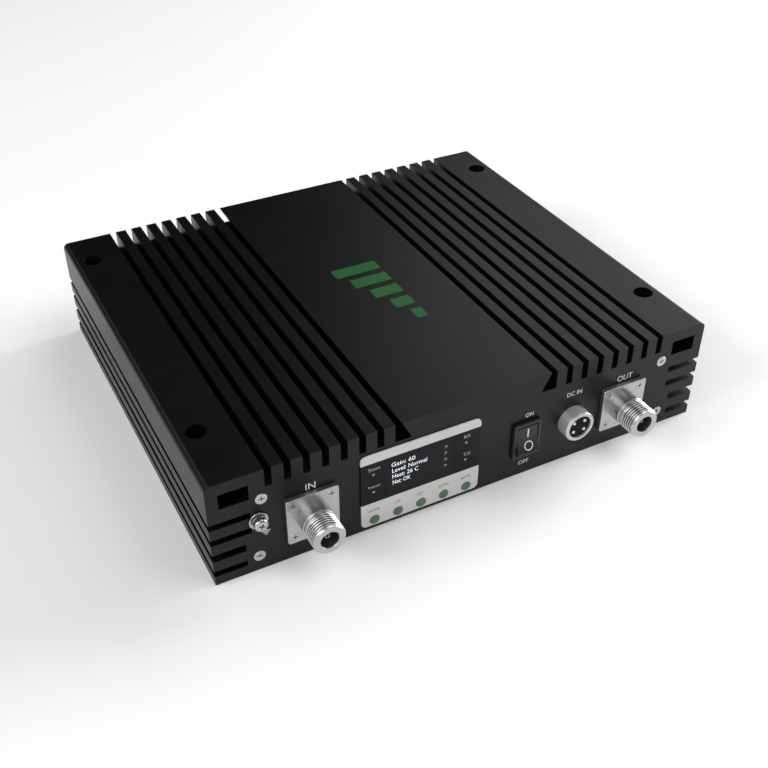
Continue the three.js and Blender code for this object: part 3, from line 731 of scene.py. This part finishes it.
def port_nose():
    """Barrel, neck, threaded nose and bore, about the Y axis with the plate's face at y = 0."""
    thread = [
        (BARREL, -THREAD_START - (THREAD_END - THREAD_START) * step / THREAD_POINTS)
        for step in range(THREAD_POINTS + 1)
    ]
    outline = in_mm(
        (4.2, 8), (7.7, 8), (7.9, 7.8), (7.9, -8.8), (7.5, -9.2), (6.95, -9.2), (6.9, -9.3), (6.9, -10.5)
    )
    outline += in_mm((7.0, -10.6), (7.6, -10.7)) + thread
    outline += in_mm((7.9, -19.0), (7.45, -19.75), (7.2, -20.0), (4.7, -20.0), (4.4, -19.7), (4.4, -8.5))
    outline += in_mm((4.2, -8.5), (4.2, 8))
    return turned(outline, steps=settings("booster_ports").steps)


def cut_thread(bm):
    """Works a helical V groove into the plain part of the nose."""
    ports = settings("booster_ports")
    for vert in bm.verts:
        radius = math.hypot(vert.co.x, vert.co.z)
        forward = -vert.co.y
        if radius < BARREL - mm(0.01) or not THREAD_START <= forward <= THREAD_END:
            continue
        phase = (forward / ports.pitch + math.atan2(vert.co.z, vert.co.x) / FULL) % 1.0
        groove = 1.0 - abs(2.0 * phase - 1.0)
        ends = min(forward - THREAD_START, THREAD_END - forward) / THREAD_FADE
        shrunk = (radius - ports.thread * groove * min(1.0, max(0.0, ends))) / radius
        vert.co.x *= shrunk
        vert.co.z *= shrunk
    return bm


def port_body(half, spacing):
    """Square flange with its four screw seats and the nose, as one solid."""
    flange = plate(2 * half, 2 * half, mm(1.5), -FLANGE_FRONT, -mm(0.1))
    softened(flange, mm(0.25))
    bm = combined(flange, cylinder(mm(6), -mm(5), mm(5), steps=48))
    bm = combined(bm, cut_thread(port_nose()), "UNION")
    seats = [
        put(countersink(mm(2.7), mm(2.76), mm(1.55), mm(1.5)), x, -FLANGE_FRONT, z)
        for x in (-spacing, spacing)
        for z in (-spacing, spacing)
    ]
    bm = combined(bm, together(*seats))
    # faces deep in the thread's grooves take the painted shade finish
    deep = BARREL - settings("booster_ports").thread * ROOT_SHARE
    for face in bm.faces:
        centre = face.calc_center_median()
        threaded = THREAD_START < -centre.y < THREAD_END
        if threaded and mm(7.0) < math.hypot(centre.x, centre.z) < deep:
            face.material_index = 1
    return bm


def port_contact():
    """Centre contact: a tube slit in four, with a rounded mouth."""
    outline = in_mm(
        (0, 10), (1.45, 10), (1.45, -16.6), (1.2, -17.0), (0.95, -17.0), (0.8, -16.8), (0.8, -12), (0, -12)
    )
    slit = mm(0.15)
    wide, mouth, root = mm(2), -mm(18), -mm(12.5)
    cuts = [block(-x, x, mouth, root, -z, z) for x, z in ((wide, slit), (slit, wide))]
    return combined(turned(outline, steps=32), combined(*cuts, operation="UNION"))


def port_insulator():
    """Ring between the contact and the bore, dished at its face, coloured near black as painted shade of the
    deep bore.
    """
    outline = in_mm(
        (1.65, 8), (3.95, 8), (3.95, -8.3), (3.75, -8.5), (2.3, -8.1), (1.65, -8.1), (1.65, 8)
    )
    return turned(outline, steps=48)


class BOOSTER_OT_antenna_ports(bpy.types.Operator):
    """Two threaded antenna sockets on square flanges, each with four screws"""

    bl_idname = "booster.antenna_ports"
    bl_label = "Antenna sockets"

    def execute(self, context):
        for port in PORTS:
            low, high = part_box(f"{port}_body")
            at = (low + high) / 2
            place = (at.x, FRONT, at.z)
            screws = [f"{port}_screw_{number}" for number in range(1, 5)]
            spacing = abs(middle(screws[0]).x - at.x)
            body = put(port_body((high.x - low.x) / 2, spacing), *place)
            piece(
                f"{port}_socket",
                body,
                "nickel",
                "Nickel plate",
                # second finish: painted shade in the thread's grooves
                "Thread root",
                replaces=[f"{port}_body"],
                smooth=22,
            )
            # the ring is coloured near black as painted shade of the bore
            ring = put(port_insulator(), *place)
            piece(f"{port}_ring", ring, "port_insulator", "Port resin", replaces=[f"{port}_insulator"])
            pin = put(port_contact(), *place)
            piece(f"{port}_pin", pin, "silver_contact", "Silver plate", replaces=[f"{port}_contact"])
            for number, name in enumerate(screws, 1):
                screw_low, screw_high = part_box(name)
                reach = screw_high.y - screw_low.y
                screw = flat_head_screw(mm(2.7), mm(1.5), mm(1.25), reach, number + len(port))
                hub = middle(name)
                put(screw, hub.x, screw_low.y, hub.z)
                piece(f"{port}_fixing_{number}", screw, "nickel", "Nickel plate", replaces=[name])
        return {"FINISHED"}


# ---------------------------------------------------------------- power socket


def power_shell():
    outline = in_mm((6.2, 9), (6.9, 9), (6.9, -0.1), (8.1, -0.1), (8.2, -0.2), (8.2, -6.8), (8.05, -7.1))
    outline += in_mm((7.6, -7.45), (7.4, -7.5), (6.6, -7.5), (6.3, -7.35), (6.2, -7.1), (6.2, 9))
    return turned(outline, steps=settings("booster_ports").steps)


def power_pin():
    """Pin with a domed tip."""
    radius, front, tail = mm(0.95), mm(7.1), mm(13)
    dome = [
        (radius * math.cos(QUARTER * step / 6), -front + radius - radius * math.sin(QUARTER * step / 6))
        for step in range(7)
    ]
    return turned([(0, tail), (radius, tail), *dome], steps=24)


class BOOSTER_OT_power_socket(bpy.types.Operator):
    """Round power socket with four pins in a dark insert"""

    bl_idname = "booster.power_socket"
    bl_label = "Power socket"

    def execute(self, context):
        at = middle("power_socket_shell")
        shell = put(power_shell(), at.x, FRONT, at.z)
        piece("power_shell", shell, "nickel", "Satin nickel", replaces=["power_socket_shell"])
        pins = [f"power_pin_{number}" for number in range(1, 5)]
        outline = in_mm((0, 3), (6, 3), (6, -6.4), (5.8, -6.6), (0, -6.6))
        drills = [
            put(cylinder(mm(1.15), -mm(8), mm(12), steps=24), middle(pin).x - at.x, 0, middle(pin).z - at.z)
            for pin in pins
        ]
        insert = combined(turned(outline), together(*drills))
        piece(
            "power_insert",
            put(insert, at.x, FRONT, at.z),
            "dark_insulator",
            "Dark resin",
            replaces=["power_socket_insert"],
        )
        for number, pin in enumerate(pins, 1):
            hub = middle(pin)
            pole = put(power_pin(), hub.x, FRONT, hub.z)
            piece(f"power_pole_{number}", pole, "nickel", "Pin plate", replaces=[pin])
        return {"FINISHED"}


# ---------------------------------------------------------------- rocker switch


PIVOT_DEPTH = mm(1.1)
ROCKER_TILT = math.radians(-10)
ROCKER = {"width": mm(11.6), "half": mm(7.3), "crown": mm(4.3), "valley": mm(3.0), "back": mm(1.5)}
DISH = 1.6  # how evenly the front of the rocker is dished
MARK_RISE = mm(0.04)


def rocker_side():
    """(y, z) outline of the rocker about its pivot: a dished front between two round ends."""
    half, crown, valley = ROCKER["half"], ROCKER["crown"], ROCKER["valley"]
    steps = 12
    front = []
    for step in range(-steps, steps + 1):
        part = step / steps
        front.append((-(valley + (crown - valley) * abs(part) ** DISH), half * part))
    reach = math.hypot(half, crown)
    start = math.atan2(crown, half)
    end = -math.asin(ROCKER["back"] / reach)
    angles = [start + (end - start) * step / 8 for step in range(1, 9)]
    upper = [(-reach * math.sin(angle), reach * math.cos(angle)) for angle in angles]
    lower = [(y, -z) for y, z in reversed(upper)]
    return front + upper + lower


def rocker_solid():
    """The paddle before it is tilted, about its pivot."""
    bm = bmesh.new()
    bm.faces.new([bm.verts.new((0, y, z)) for y, z in rocker_side()])
    bmesh.ops.translate(bm, vec=(-ROCKER["width"] / 2, 0, 0), verts=bm.verts)
    made = bmesh.ops.extrude_face_region(bm, geom=bm.faces[:])
    bmesh.ops.translate(bm, vec=(ROCKER["width"], 0, 0), verts=moved_vertices(made["geom"]))
    bmesh.ops.recalc_face_normals(bm, faces=bm.faces)
    return bm


def rocker_mark(prism):
    """The part of a prism that lies just in front of the dished face."""
    raised = combined(prism, put(rocker_solid(), 0, -MARK_RISE, 0), "INTERSECT")
    return combined(raised, rocker_solid())


def tilted(bm, at):
    return put(turn(bm, ROCKER_TILT, "X"), at.x, FRONT + PIVOT_DEPTH, at.z)


class BOOSTER_OT_rocker_switch(bpy.types.Operator):
    """Rocker switch in its bezel, with a bar and a ring on the rocker"""

    bl_idname = "booster.rocker_switch"
    bl_label = "Rocker switch"

    def execute(self, context):
        at = middle("switch_body")
        bezel = softened(plate(mm(15.4), mm(20.8), mm(1.2), -mm(1.9), -mm(0.1)), mm(0.2))
        case = block(-mm(6.7), mm(6.7), -mm(1), mm(17), -mm(9.7), mm(9.7))
        bm = combined(bezel, case, "UNION")
        bm = combined(bm, block(-mm(6), mm(6), -mm(3), mm(6), -mm(8.8), mm(8.8)))
        blades = [block(-mm(2.4), mm(2.4), mm(16), mm(23), z - mm(0.4), z + mm(0.4)) for z in (-mm(5), 0)]
        bm = together(bm, *blades)
        put(bm, at.x, FRONT, at.z)
        piece("switch_frame", bm, "black_plastic", "Black plastic", replaces=["switch_body"])
        rocker = softened(rocker_solid(), mm(0.3), segments=3, angle=50)
        trunnion = turn(cylinder(mm(0.9), -mm(6.3), mm(6.3), steps=24), QUARTER, "Z")
        rocker = tilted(combined(rocker, trunnion, "UNION"), at)
        plastic = "Black plastic"
        piece("rocker_paddle", rocker, "black_plastic", plastic, body="rocker", replaces=["switch_rocker"])
        bar = block(-mm(0.1), mm(0.7), -mm(6), 0, mm(1.1), mm(6.0))
        ring_place = (mm(0.4), 0, -mm(3.6))
        disc = put(cylinder(mm(2.5), -mm(6), 0, steps=48), *ring_place)
        heart = put(cylinder(mm(1.95), -mm(7), mm(1), steps=48), *ring_place)
        marks = {"rocker_bar": rocker_mark(bar), "rocker_ring": combined(rocker_mark(disc), heart)}
        for name, mark in marks.items():
            piece(name, tilted(mark, at), "membrane_film", "White ink", body="rocker")
        return {"FINISHED"}


# ---------------------------------------------------------------- membrane panel


KEY_NODES = tuple(f"key_{number}" for number in range(1, 6))
PIPE_NODES = tuple(f"light_pipe_{number}" for number in range(1, 5))
DARK_LOW = mm(16.6)  # heights of the dark zone's two borders
DARK_HIGH = mm(40.4)
DISPLAY_INSET = mm(2.5)  # how far the display's clear part stays inside its module


def sliced(bm, axis, place):
    """bm with a border across it, square to an axis."""
    normal = [0, 0, 0]
    normal[axis] = 1
    point = [0, 0, 0]
    point[axis] = place
    everything = bm.verts[:] + bm.edges[:] + bm.faces[:]
    bmesh.ops.bisect_plane(bm, geom=everything, plane_co=point, plane_no=normal)


class BOOSTER_OT_membrane(bpy.types.Operator):
    """Membrane sheet with a light strip at the top, a dark zone with the display and a light key strip"""

    bl_idname = "booster.membrane"
    bl_label = "Membrane panel"

    def execute(self, context):
        low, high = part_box("membrane_panel")
        at = (low + high) / 2
        sheet = plate(high.x - low.x, high.z - low.z, mm(2.8), low.y, high.y)
        softened(sheet, mm(0.18))
        put(sheet, at.x, 0, at.z)
        holes = []
        for nodes, radius, steps in ((KEY_NODES, mm(2.62), 64), (PIPE_NODES, mm(0.85), 24)):
            for node in nodes:
                drill = cylinder(radius, low.y - PAST, high.y + PAST, steps)
                holes.append(put(drill, middle(node).x, 0, middle(node).z))
        sheet = combined(sheet, together(*holes))
        glass_low, glass_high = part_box("display_module")
        left, right = glass_low.x + DISPLAY_INSET, glass_high.x - DISPLAY_INSET
        foot, head = glass_low.z + DISPLAY_INSET, glass_high.z - DISPLAY_INSET
        for axis, place in ((2, DARK_LOW), (2, DARK_HIGH), (0, left), (0, right), (2, foot), (2, head)):
            sliced(sheet, axis, place)
        for face in sheet.faces:
            x, _, z = face.calc_center_median()
            if DARK_LOW < z < DARK_HIGH:
                shown = left < x < right and foot < z < head
                face.material_index = 2 if shown else 1
        piece(
            "membrane_sheet",
            sheet,
            "membrane_film",
            "Membrane film",
            "Window film",
            "Display film",
            replaces=["membrane_panel"],
        )
        return {"FINISHED"}


class BOOSTER_OT_keys(bpy.types.Operator):
    """Five round keys that push in"""

    bl_idname = "booster.keys"
    bl_label = "Keys"

    def execute(self, context):
        outline = in_mm((0, 4.9), (1.6, 4.9), (1.6, -0.55), (2.4, -0.55), (2.4, -1.15), (2.33, -1.30))
        outline += in_mm((2.15, -1.40), (1.60, -1.46), (0.80, -1.49), (0, -1.50))
        for number, key in enumerate(KEY_NODES, 1):
            at = middle(key)
            cap = put(turned(outline), at.x, FRONT, at.z)
            body = f"push_key_{number}"
            piece(f"round_key_{number}", cap, "green_key", "Key rubber", body=body, replaces=[key])
        return {"FINISHED"}


class BOOSTER_OT_light_pipes(bpy.types.Operator):
    """Four small clear light pipes with domed tips"""

    bl_idname = "booster.light_pipes"
    bl_label = "Light pipes"

    def execute(self, context):
        radius = mm(0.7)
        dome = [
            (radius * math.cos(QUARTER * step / 5), -mm(0.85) - mm(0.25) * math.sin(QUARTER * step / 5))
            for step in range(6)
        ]
        outline = [(0, mm(5)), (mm(1.6), mm(5)), (mm(1.6), mm(4.2)), (radius, mm(4.2)), *dome]
        for number, pipe in enumerate(PIPE_NODES, 1):
            at = middle(pipe)
            lens = put(turned(outline, steps=24), at.x, FRONT, at.z)
            piece(f"indicator_{number}", lens, "clear_pipe", "Clear resin", replaces=[pipe])
        return {"FINISHED"}


# ---------------------------------------------------------------- ground terminal


def pan_head_screw():
    """Ground screw: a low domed head with a cross recess, its shank along +Y."""
    outline = in_mm((0, 10), (1.6, 10), (1.9, 9.7), (1.9, -2.2), (3.2, -2.2), (3.3, -2.3), (3.3, -3.6))
    outline += in_mm((3.15, -4.1), (2.8, -4.5), (2.2, -4.72), (1.2, -4.79), (0, -4.8))
    recess = cross_recess(mm(2.0), mm(0.42), mm(1.3), face=-mm(4.8))
    return turn(combined(turned(outline), recess), math.radians(24), "Y")


def spring_washer():
    """A split ring that rises by less than its own thickness."""
    gap = math.radians(10)
    half, rise = mm(0.33), mm(0.4)
    middle_y = -mm(1.55) - rise / 2
    outline = [(mm(2.4), -half), (mm(3.6), -half), (mm(3.6), half), (mm(2.4), half), (mm(2.4), -half)]
    ring = turned([(r, middle_y + y) for r, y in outline], steps=64, angle=FULL - gap, rise=rise)
    bmesh.ops.holes_fill(ring, edges=[edge for edge in ring.edges if edge.is_boundary])
    bmesh.ops.recalc_face_normals(ring, faces=ring.faces)
    return softened(turn(ring, math.radians(200), "Y"), mm(0.1))


class BOOSTER_OT_ground_terminal(bpy.types.Operator):
    """Ground screw with its flat washer and its spring washer"""

    bl_idname = "booster.ground_terminal"
    bl_label = "Ground terminal"

    def execute(self, context):
        at = middle("ground_screw")
        place = (at.x, FRONT, at.z)
        screw = put(pan_head_screw(), *place)
        piece("ground_bolt", screw, "zinc_steel", "Zinc plate", replaces=["ground_screw"])
        ring = in_mm((2.3, -0.1), (4.4, -0.1), (4.5, -0.2), (4.5, -0.75), (4.35, -0.9), (2.4, -0.9))
        ring += in_mm((2.3, -0.8), (2.3, -0.1))
        flat = put(turned(ring, steps=64), *place)
        piece("ground_washer", flat, "zinc_steel", "Zinc plate", replaces=["ground_flat_washer"])
        split = put(spring_washer(), *place)
        piece("ground_split_washer", split, "zinc_steel", "Zinc plate", replaces=["ground_spring_washer"])
        return {"FINISHED"}


# ---------------------------------------------------------------- printing


FILM_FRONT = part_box("membrane_panel")[0].y
INK = mm(0.02)


def lettering(words, room, y, name, ink, slot="membrane_film"):
    """Printed words that face the front and fill room, (left, width, low, height) in millimetres."""
    left, width, low, height = (mm(value) for value in room)
    curve = bpy.data.curves.new(name, "FONT")
    curve.body = words
    curve.size = height
    curve.resolution_u = 3
    written = bpy.data.objects.new(name, curve)
    bpy.context.scene.collection.objects.link(written)
    bpy.context.view_layer.update()
    bm = bmesh.new()
    shaped = written.evaluated_get(bpy.context.evaluated_depsgraph_get())
    bm.from_mesh(shaped.to_mesh())
    shaped.to_mesh_clear()
    bpy.data.objects.remove(written)
    bpy.data.curves.remove(curve)
    bmesh.ops.remove_doubles(bm, verts=bm.verts, dist=mm(0.0005))
    across = [v.co.x for v in bm.verts]
    up = [v.co.y for v in bm.verts]
    put(bm, -min(across), -min(up))
    stretch = (width / (max(across) - min(across)), height / (max(up) - min(up)), 1)
    bmesh.ops.scale(bm, vec=stretch, verts=bm.verts)
    turn(bm, QUARTER, "X")
    pulled(bm, 0, INK)
    put(bm, left, y - PROUD, low)
    piece(name, bm, slot, ink)


FRONT_WORDS = {
    "mark_in": ("IN", (-87.1, 4.7, 37.1, 3.6)),
    "mark_out": ("OUT", (80.5, 9.0, 37.4, 3.4)),
    "mark_on": ("ON", (27.0, 4.3, 35.1, 2.5)),
    "mark_off": ("OFF", (25.3, 5.8, 6.0, 2.4)),
    "mark_power": ("DC IN", (50.4, 8.6, 38.7, 2.5)),
}
KEY_WORDS = {
    "mark_key_1": ("HOME", (-57.2, 5.7, 11.2, 1.5)),
    "mark_key_2": ("UP", (-43.6, 3.1, 11.2, 1.5)),
    "mark_key_3": ("SET", (-32.1, 3.7, 11.2, 1.5)),
    "mark_key_4": ("DOWN", (-20.4, 5.3, 11.2, 1.5)),
    "mark_key_5": ("BACK", (-8.1, 5.3, 11.2, 1.5)),
}
LIGHT_WORDS = {
    "mark_light_1": ("State", (-57.2, 6.0, 36.0, 1.9)),
    "mark_light_2": ("Input", (-57.2, 6.0, 25.4, 1.9)),
    "mark_light_3": ("RX", (-7.6, 3.5, 36.2, 1.9)),
    "mark_light_4": ("TX", (-7.7, 4.1, 25.5, 1.9)),
}
DISPLAY_WORDS = {
    "display_row_1": ("Gain: 60", (-45.5, 12.2, 34.3, 2.4)),
    "display_row_2": ("Level: Normal", (-45.1, 18.0, 30.7, 2.4)),
    "display_row_3": ("Heat: 26 C", (-45.0, 13.4, 27.2, 2.4)),
    "display_row_4": ("Net: OK", (-44.8, 9.2, 23.6, 2.4)),
}
ARROW_HEIGHTS = (35.4, 31.7, 27.9, 24.1)


class BOOSTER_OT_printing(bpy.types.Operator):
    """Plain marks on the front plate and the membrane, and the emblem on the plateau"""

    bl_idname = "booster.printing"
    bl_label = "Printing"

    def execute(self, context):
        for name, (words, room) in FRONT_WORDS.items():
            lettering(words, room, FRONT, name, "White ink")
        for name, (words, room) in KEY_WORDS.items():
            lettering(words, room, FILM_FRONT, name, "Grey ink")
        for name, (words, room) in LIGHT_WORDS.items():
            lettering(words, room, FILM_FRONT, name, "Pale ink")
        for name, (words, room) in DISPLAY_WORDS.items():
            lettering(words, room, FILM_FRONT, name, "Display light", slot="display_glass")
        for number, height in enumerate(ARROW_HEIGHTS, 1):
            room = (-17.9, 1.5, height - 0.9, 1.8)
            lettering(">", room, FILM_FRONT, f"display_arrow_{number}", "Pale ink")
        self.ground_mark()
        self.emblem()
        return {"FINISHED"}

    def ground_mark(self):
        """A stem over three bars that get shorter, beside the ground screw."""
        ground = middle("ground_screw")
        foot = ground.x + mm(3.2)
        level = ground.z - mm(7.6)
        rows = [(foot - mm(0.25), foot + mm(0.25), level, level + mm(1.9))]
        for step in range(3):
            reach, height = mm(2.05 - 0.7 * step), level - mm(1.0) * step
            rows.append((foot - reach, foot + reach, height - mm(0.45), height))
        back = FRONT - PROUD + INK
        bars = [block(x0, x1, FRONT - PROUD, back, z0, z1) for x0, x1, z0, z1 in rows]
        piece("mark_ground", together(*bars), "membrane_film", "White ink")

    def emblem(self):
        """Five rising signal bars printed along the plateau."""
        bars, pitch, width = 5, mm(13), mm(8.5)
        start = FRONT + mm(74)
        base = mm(13)
        parts = []
        for number in range(bars):
            rise = mm(6) + mm(5) * number
            near = start + pitch * number - width / 2
            far = start + pitch * number + width / 2
            parts.append(block(base - rise, base, near, far, TOP + mm(0.01), TOP + PROUD))
        piece("mark_emblem", together(*parts), "green_key", "Emblem ink")


# ---------------------------------------------------------------- inner parts


INNER_FINISHES = {
    "main_board": "Board lacquer",
    "keyboard_board": "Board lacquer",
    "display_module": "Display film",
    "service_filter": "Milled silver",
    "donor_filter": "Milled silver",
    "rf_shield_can": "Milled silver",
    "power_socket_nut": "Nickel plate",
    "service_coax": "Tinned copper",
    "donor_coax": "Tinned copper",
    "power_harness": "Lead jacket",
}


class BOOSTER_OT_inner_parts(bpy.types.Operator):
    """Finishes of the boards, filters, shield and leads inside the case"""

    bl_idname = "booster.inner_parts"
    bl_label = "Inner parts"

    def execute(self, context):
        for node, name in INNER_FINISHES.items():
            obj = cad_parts[node]
            obj.data.materials.clear()
            obj.data.materials.append(named_finish(name))
        return {"FINISHED"}


# ---------------------------------------------------------------- studio


FLOOR_REACH = 2.6
FLOOR_TOP = -mm(0.2)
# azimuth, elevation, distance, width and height, and power in watts of each light
LIGHTS = {
    "right": (90, 12, 2.2, (1.0, 0.8), 89),
    "back_right": (115, 12, 2.2, (1.0, 0.8), 8),
    "back": (135, 36, 2.2, (1.0, 0.8), 4),
    "back_left": (-150, 45, 2.6, (1.5, 1.5), 7),
    "left": (-90, 30, 2.2, (1.2, 1.2), 34),
    "front_left": (-40, 35, 2.5, (1.5, 1.5), 21),
    "front_right": (45, 60, 2.2, (1.2, 1.2), 12),
}


def area_light(name, azimuth, elevation, distance, size, power):
    """A soft square light that looks at the booster. Azimuth 0 stands in front, 90 at the right."""
    light = bpy.data.lights.new(name, "AREA")
    light.shape = "RECTANGLE"
    light.size, light.size_y = size
    light.energy = power
    a, e = math.radians(azimuth), math.radians(elevation)
    away = Vector((math.sin(a) * math.cos(e), -math.cos(a) * math.cos(e), math.sin(e)))
    obj = bpy.data.objects.new(name, light)
    obj.location = away * distance
    obj.rotation_mode = "QUATERNION"
    obj.rotation_quaternion = away.to_track_quat("Z", "Y")
    bpy.context.scene.collection.objects.link(obj)


class BOOSTER_OT_studio(bpy.types.Operator):
    """Pale floor, soft lights and the camera"""

    bl_idname = "booster.studio"
    bl_label = "Studio"

    def execute(self, context):
        stage = settings("booster_stage")
        scene = bpy.context.scene
        scene.view_settings.view_transform = "Standard"
        floor = block(-FLOOR_REACH, FLOOR_REACH, -FLOOR_REACH, FLOOR_REACH, -mm(20), FLOOR_TOP)
        mesh = bpy.data.meshes.new("floor")
        floor.to_mesh(mesh)
        floor.free()
        mesh.materials.append(
            finish("Floor", stage.floor, (0.85, 0.95), spread=0.01, patch=2.0, bump=0.0)
        )
        floor = bpy.data.objects.new("floor", mesh)
        scene.collection.objects.link(floor)
        world = bpy.data.worlds.new("Studio")
        world.use_nodes = True
        backdrop = world.node_tree.nodes["Background"]
        backdrop.inputs["Color"].default_value = (0.9, 0.9, 0.9, 1)
        seen = add_node(world.node_tree, "ShaderNodeLightPath")
        world.node_tree.links.new(seen.outputs["Is Camera Ray"], backdrop.inputs["Strength"])
        scene.world = world
        for name, values in LIGHTS.items():
            area_light(name, *values)
        self.camera(stage)
        return {"FINISHED"}

    def camera(self, stage):
        data = bpy.data.cameras.new("camera")
        data.lens = stage.lens
        data.sensor_width = 36.0
        camera = bpy.data.objects.new("camera", data)
        a, e = math.radians(stage.azimuth), math.radians(stage.elevation)
        ahead = Vector((math.sin(a) * math.cos(e), math.cos(a) * math.cos(e), -math.sin(e)))
        camera.location = stage.station
        camera.rotation_mode = "QUATERNION"
        camera.rotation_quaternion = ahead.to_track_quat("-Z", "Y")
        bpy.context.scene.collection.objects.link(camera)
        bpy.context.scene.camera = camera


# ---------------------------------------------------------------- panel and start


OPERATORS = (
    BOOSTER_OT_studio,
    BOOSTER_OT_housing,
    BOOSTER_OT_front_plate,
    BOOSTER_OT_rear_plate,
    BOOSTER_OT_bottom_plate,
    BOOSTER_OT_panel_screws,
    BOOSTER_OT_antenna_ports,
    BOOSTER_OT_power_socket,
    BOOSTER_OT_rocker_switch,
    BOOSTER_OT_membrane,
    BOOSTER_OT_keys,
    BOOSTER_OT_light_pipes,
    BOOSTER_OT_ground_terminal,
    BOOSTER_OT_printing,
    BOOSTER_OT_inner_parts,
)


class BOOSTER_PT_build(bpy.types.Panel):
    """Lists the pieces and the settings they are made from"""

    bl_idname = "BOOSTER_PT_build"
    bl_label = "Signal booster"
    bl_space_type = "VIEW_3D"
    bl_region_type = "UI"
    bl_category = "Booster"

    def draw(self, context):
        for operator in OPERATORS:
            self.layout.operator(operator.bl_idname)
        for group, kind in GROUPS.items():
            box = self.layout.box()
            box.label(text=kind.__doc__)
            for name in kind.__annotations__:
                box.prop(settings(group), name)


def register():
    for kind in GROUPS.values():
        bpy.utils.register_class(kind)
    for group, kind in GROUPS.items():
        setattr(bpy.types.Scene, group, PointerProperty(type=kind))
    for operator in OPERATORS:
        bpy.utils.register_class(operator)
    bpy.utils.register_class(BOOSTER_PT_build)


def unregister():
    bpy.utils.unregister_class(BOOSTER_PT_build)
    for operator in reversed(OPERATORS):
        bpy.utils.unregister_class(operator)
    for group, kind in GROUPS.items():
        delattr(bpy.types.Scene, group)
        bpy.utils.unregister_class(kind)


def main():
    register()
    bpy.ops.booster.studio()
    bpy.ops.booster.housing()
    bpy.ops.booster.front_plate()
    bpy.ops.booster.rear_plate()
    bpy.ops.booster.bottom_plate()
    bpy.ops.booster.panel_screws()
    bpy.ops.booster.antenna_ports()
    bpy.ops.booster.power_socket()
    bpy.ops.booster.rocker_switch()
    bpy.ops.booster.membrane()
    bpy.ops.booster.keys()
    bpy.ops.booster.light_pipes()
    bpy.ops.booster.ground_terminal()
    bpy.ops.booster.printing()
    bpy.ops.booster.inner_parts()


if __name__ == "__main__":
    main()
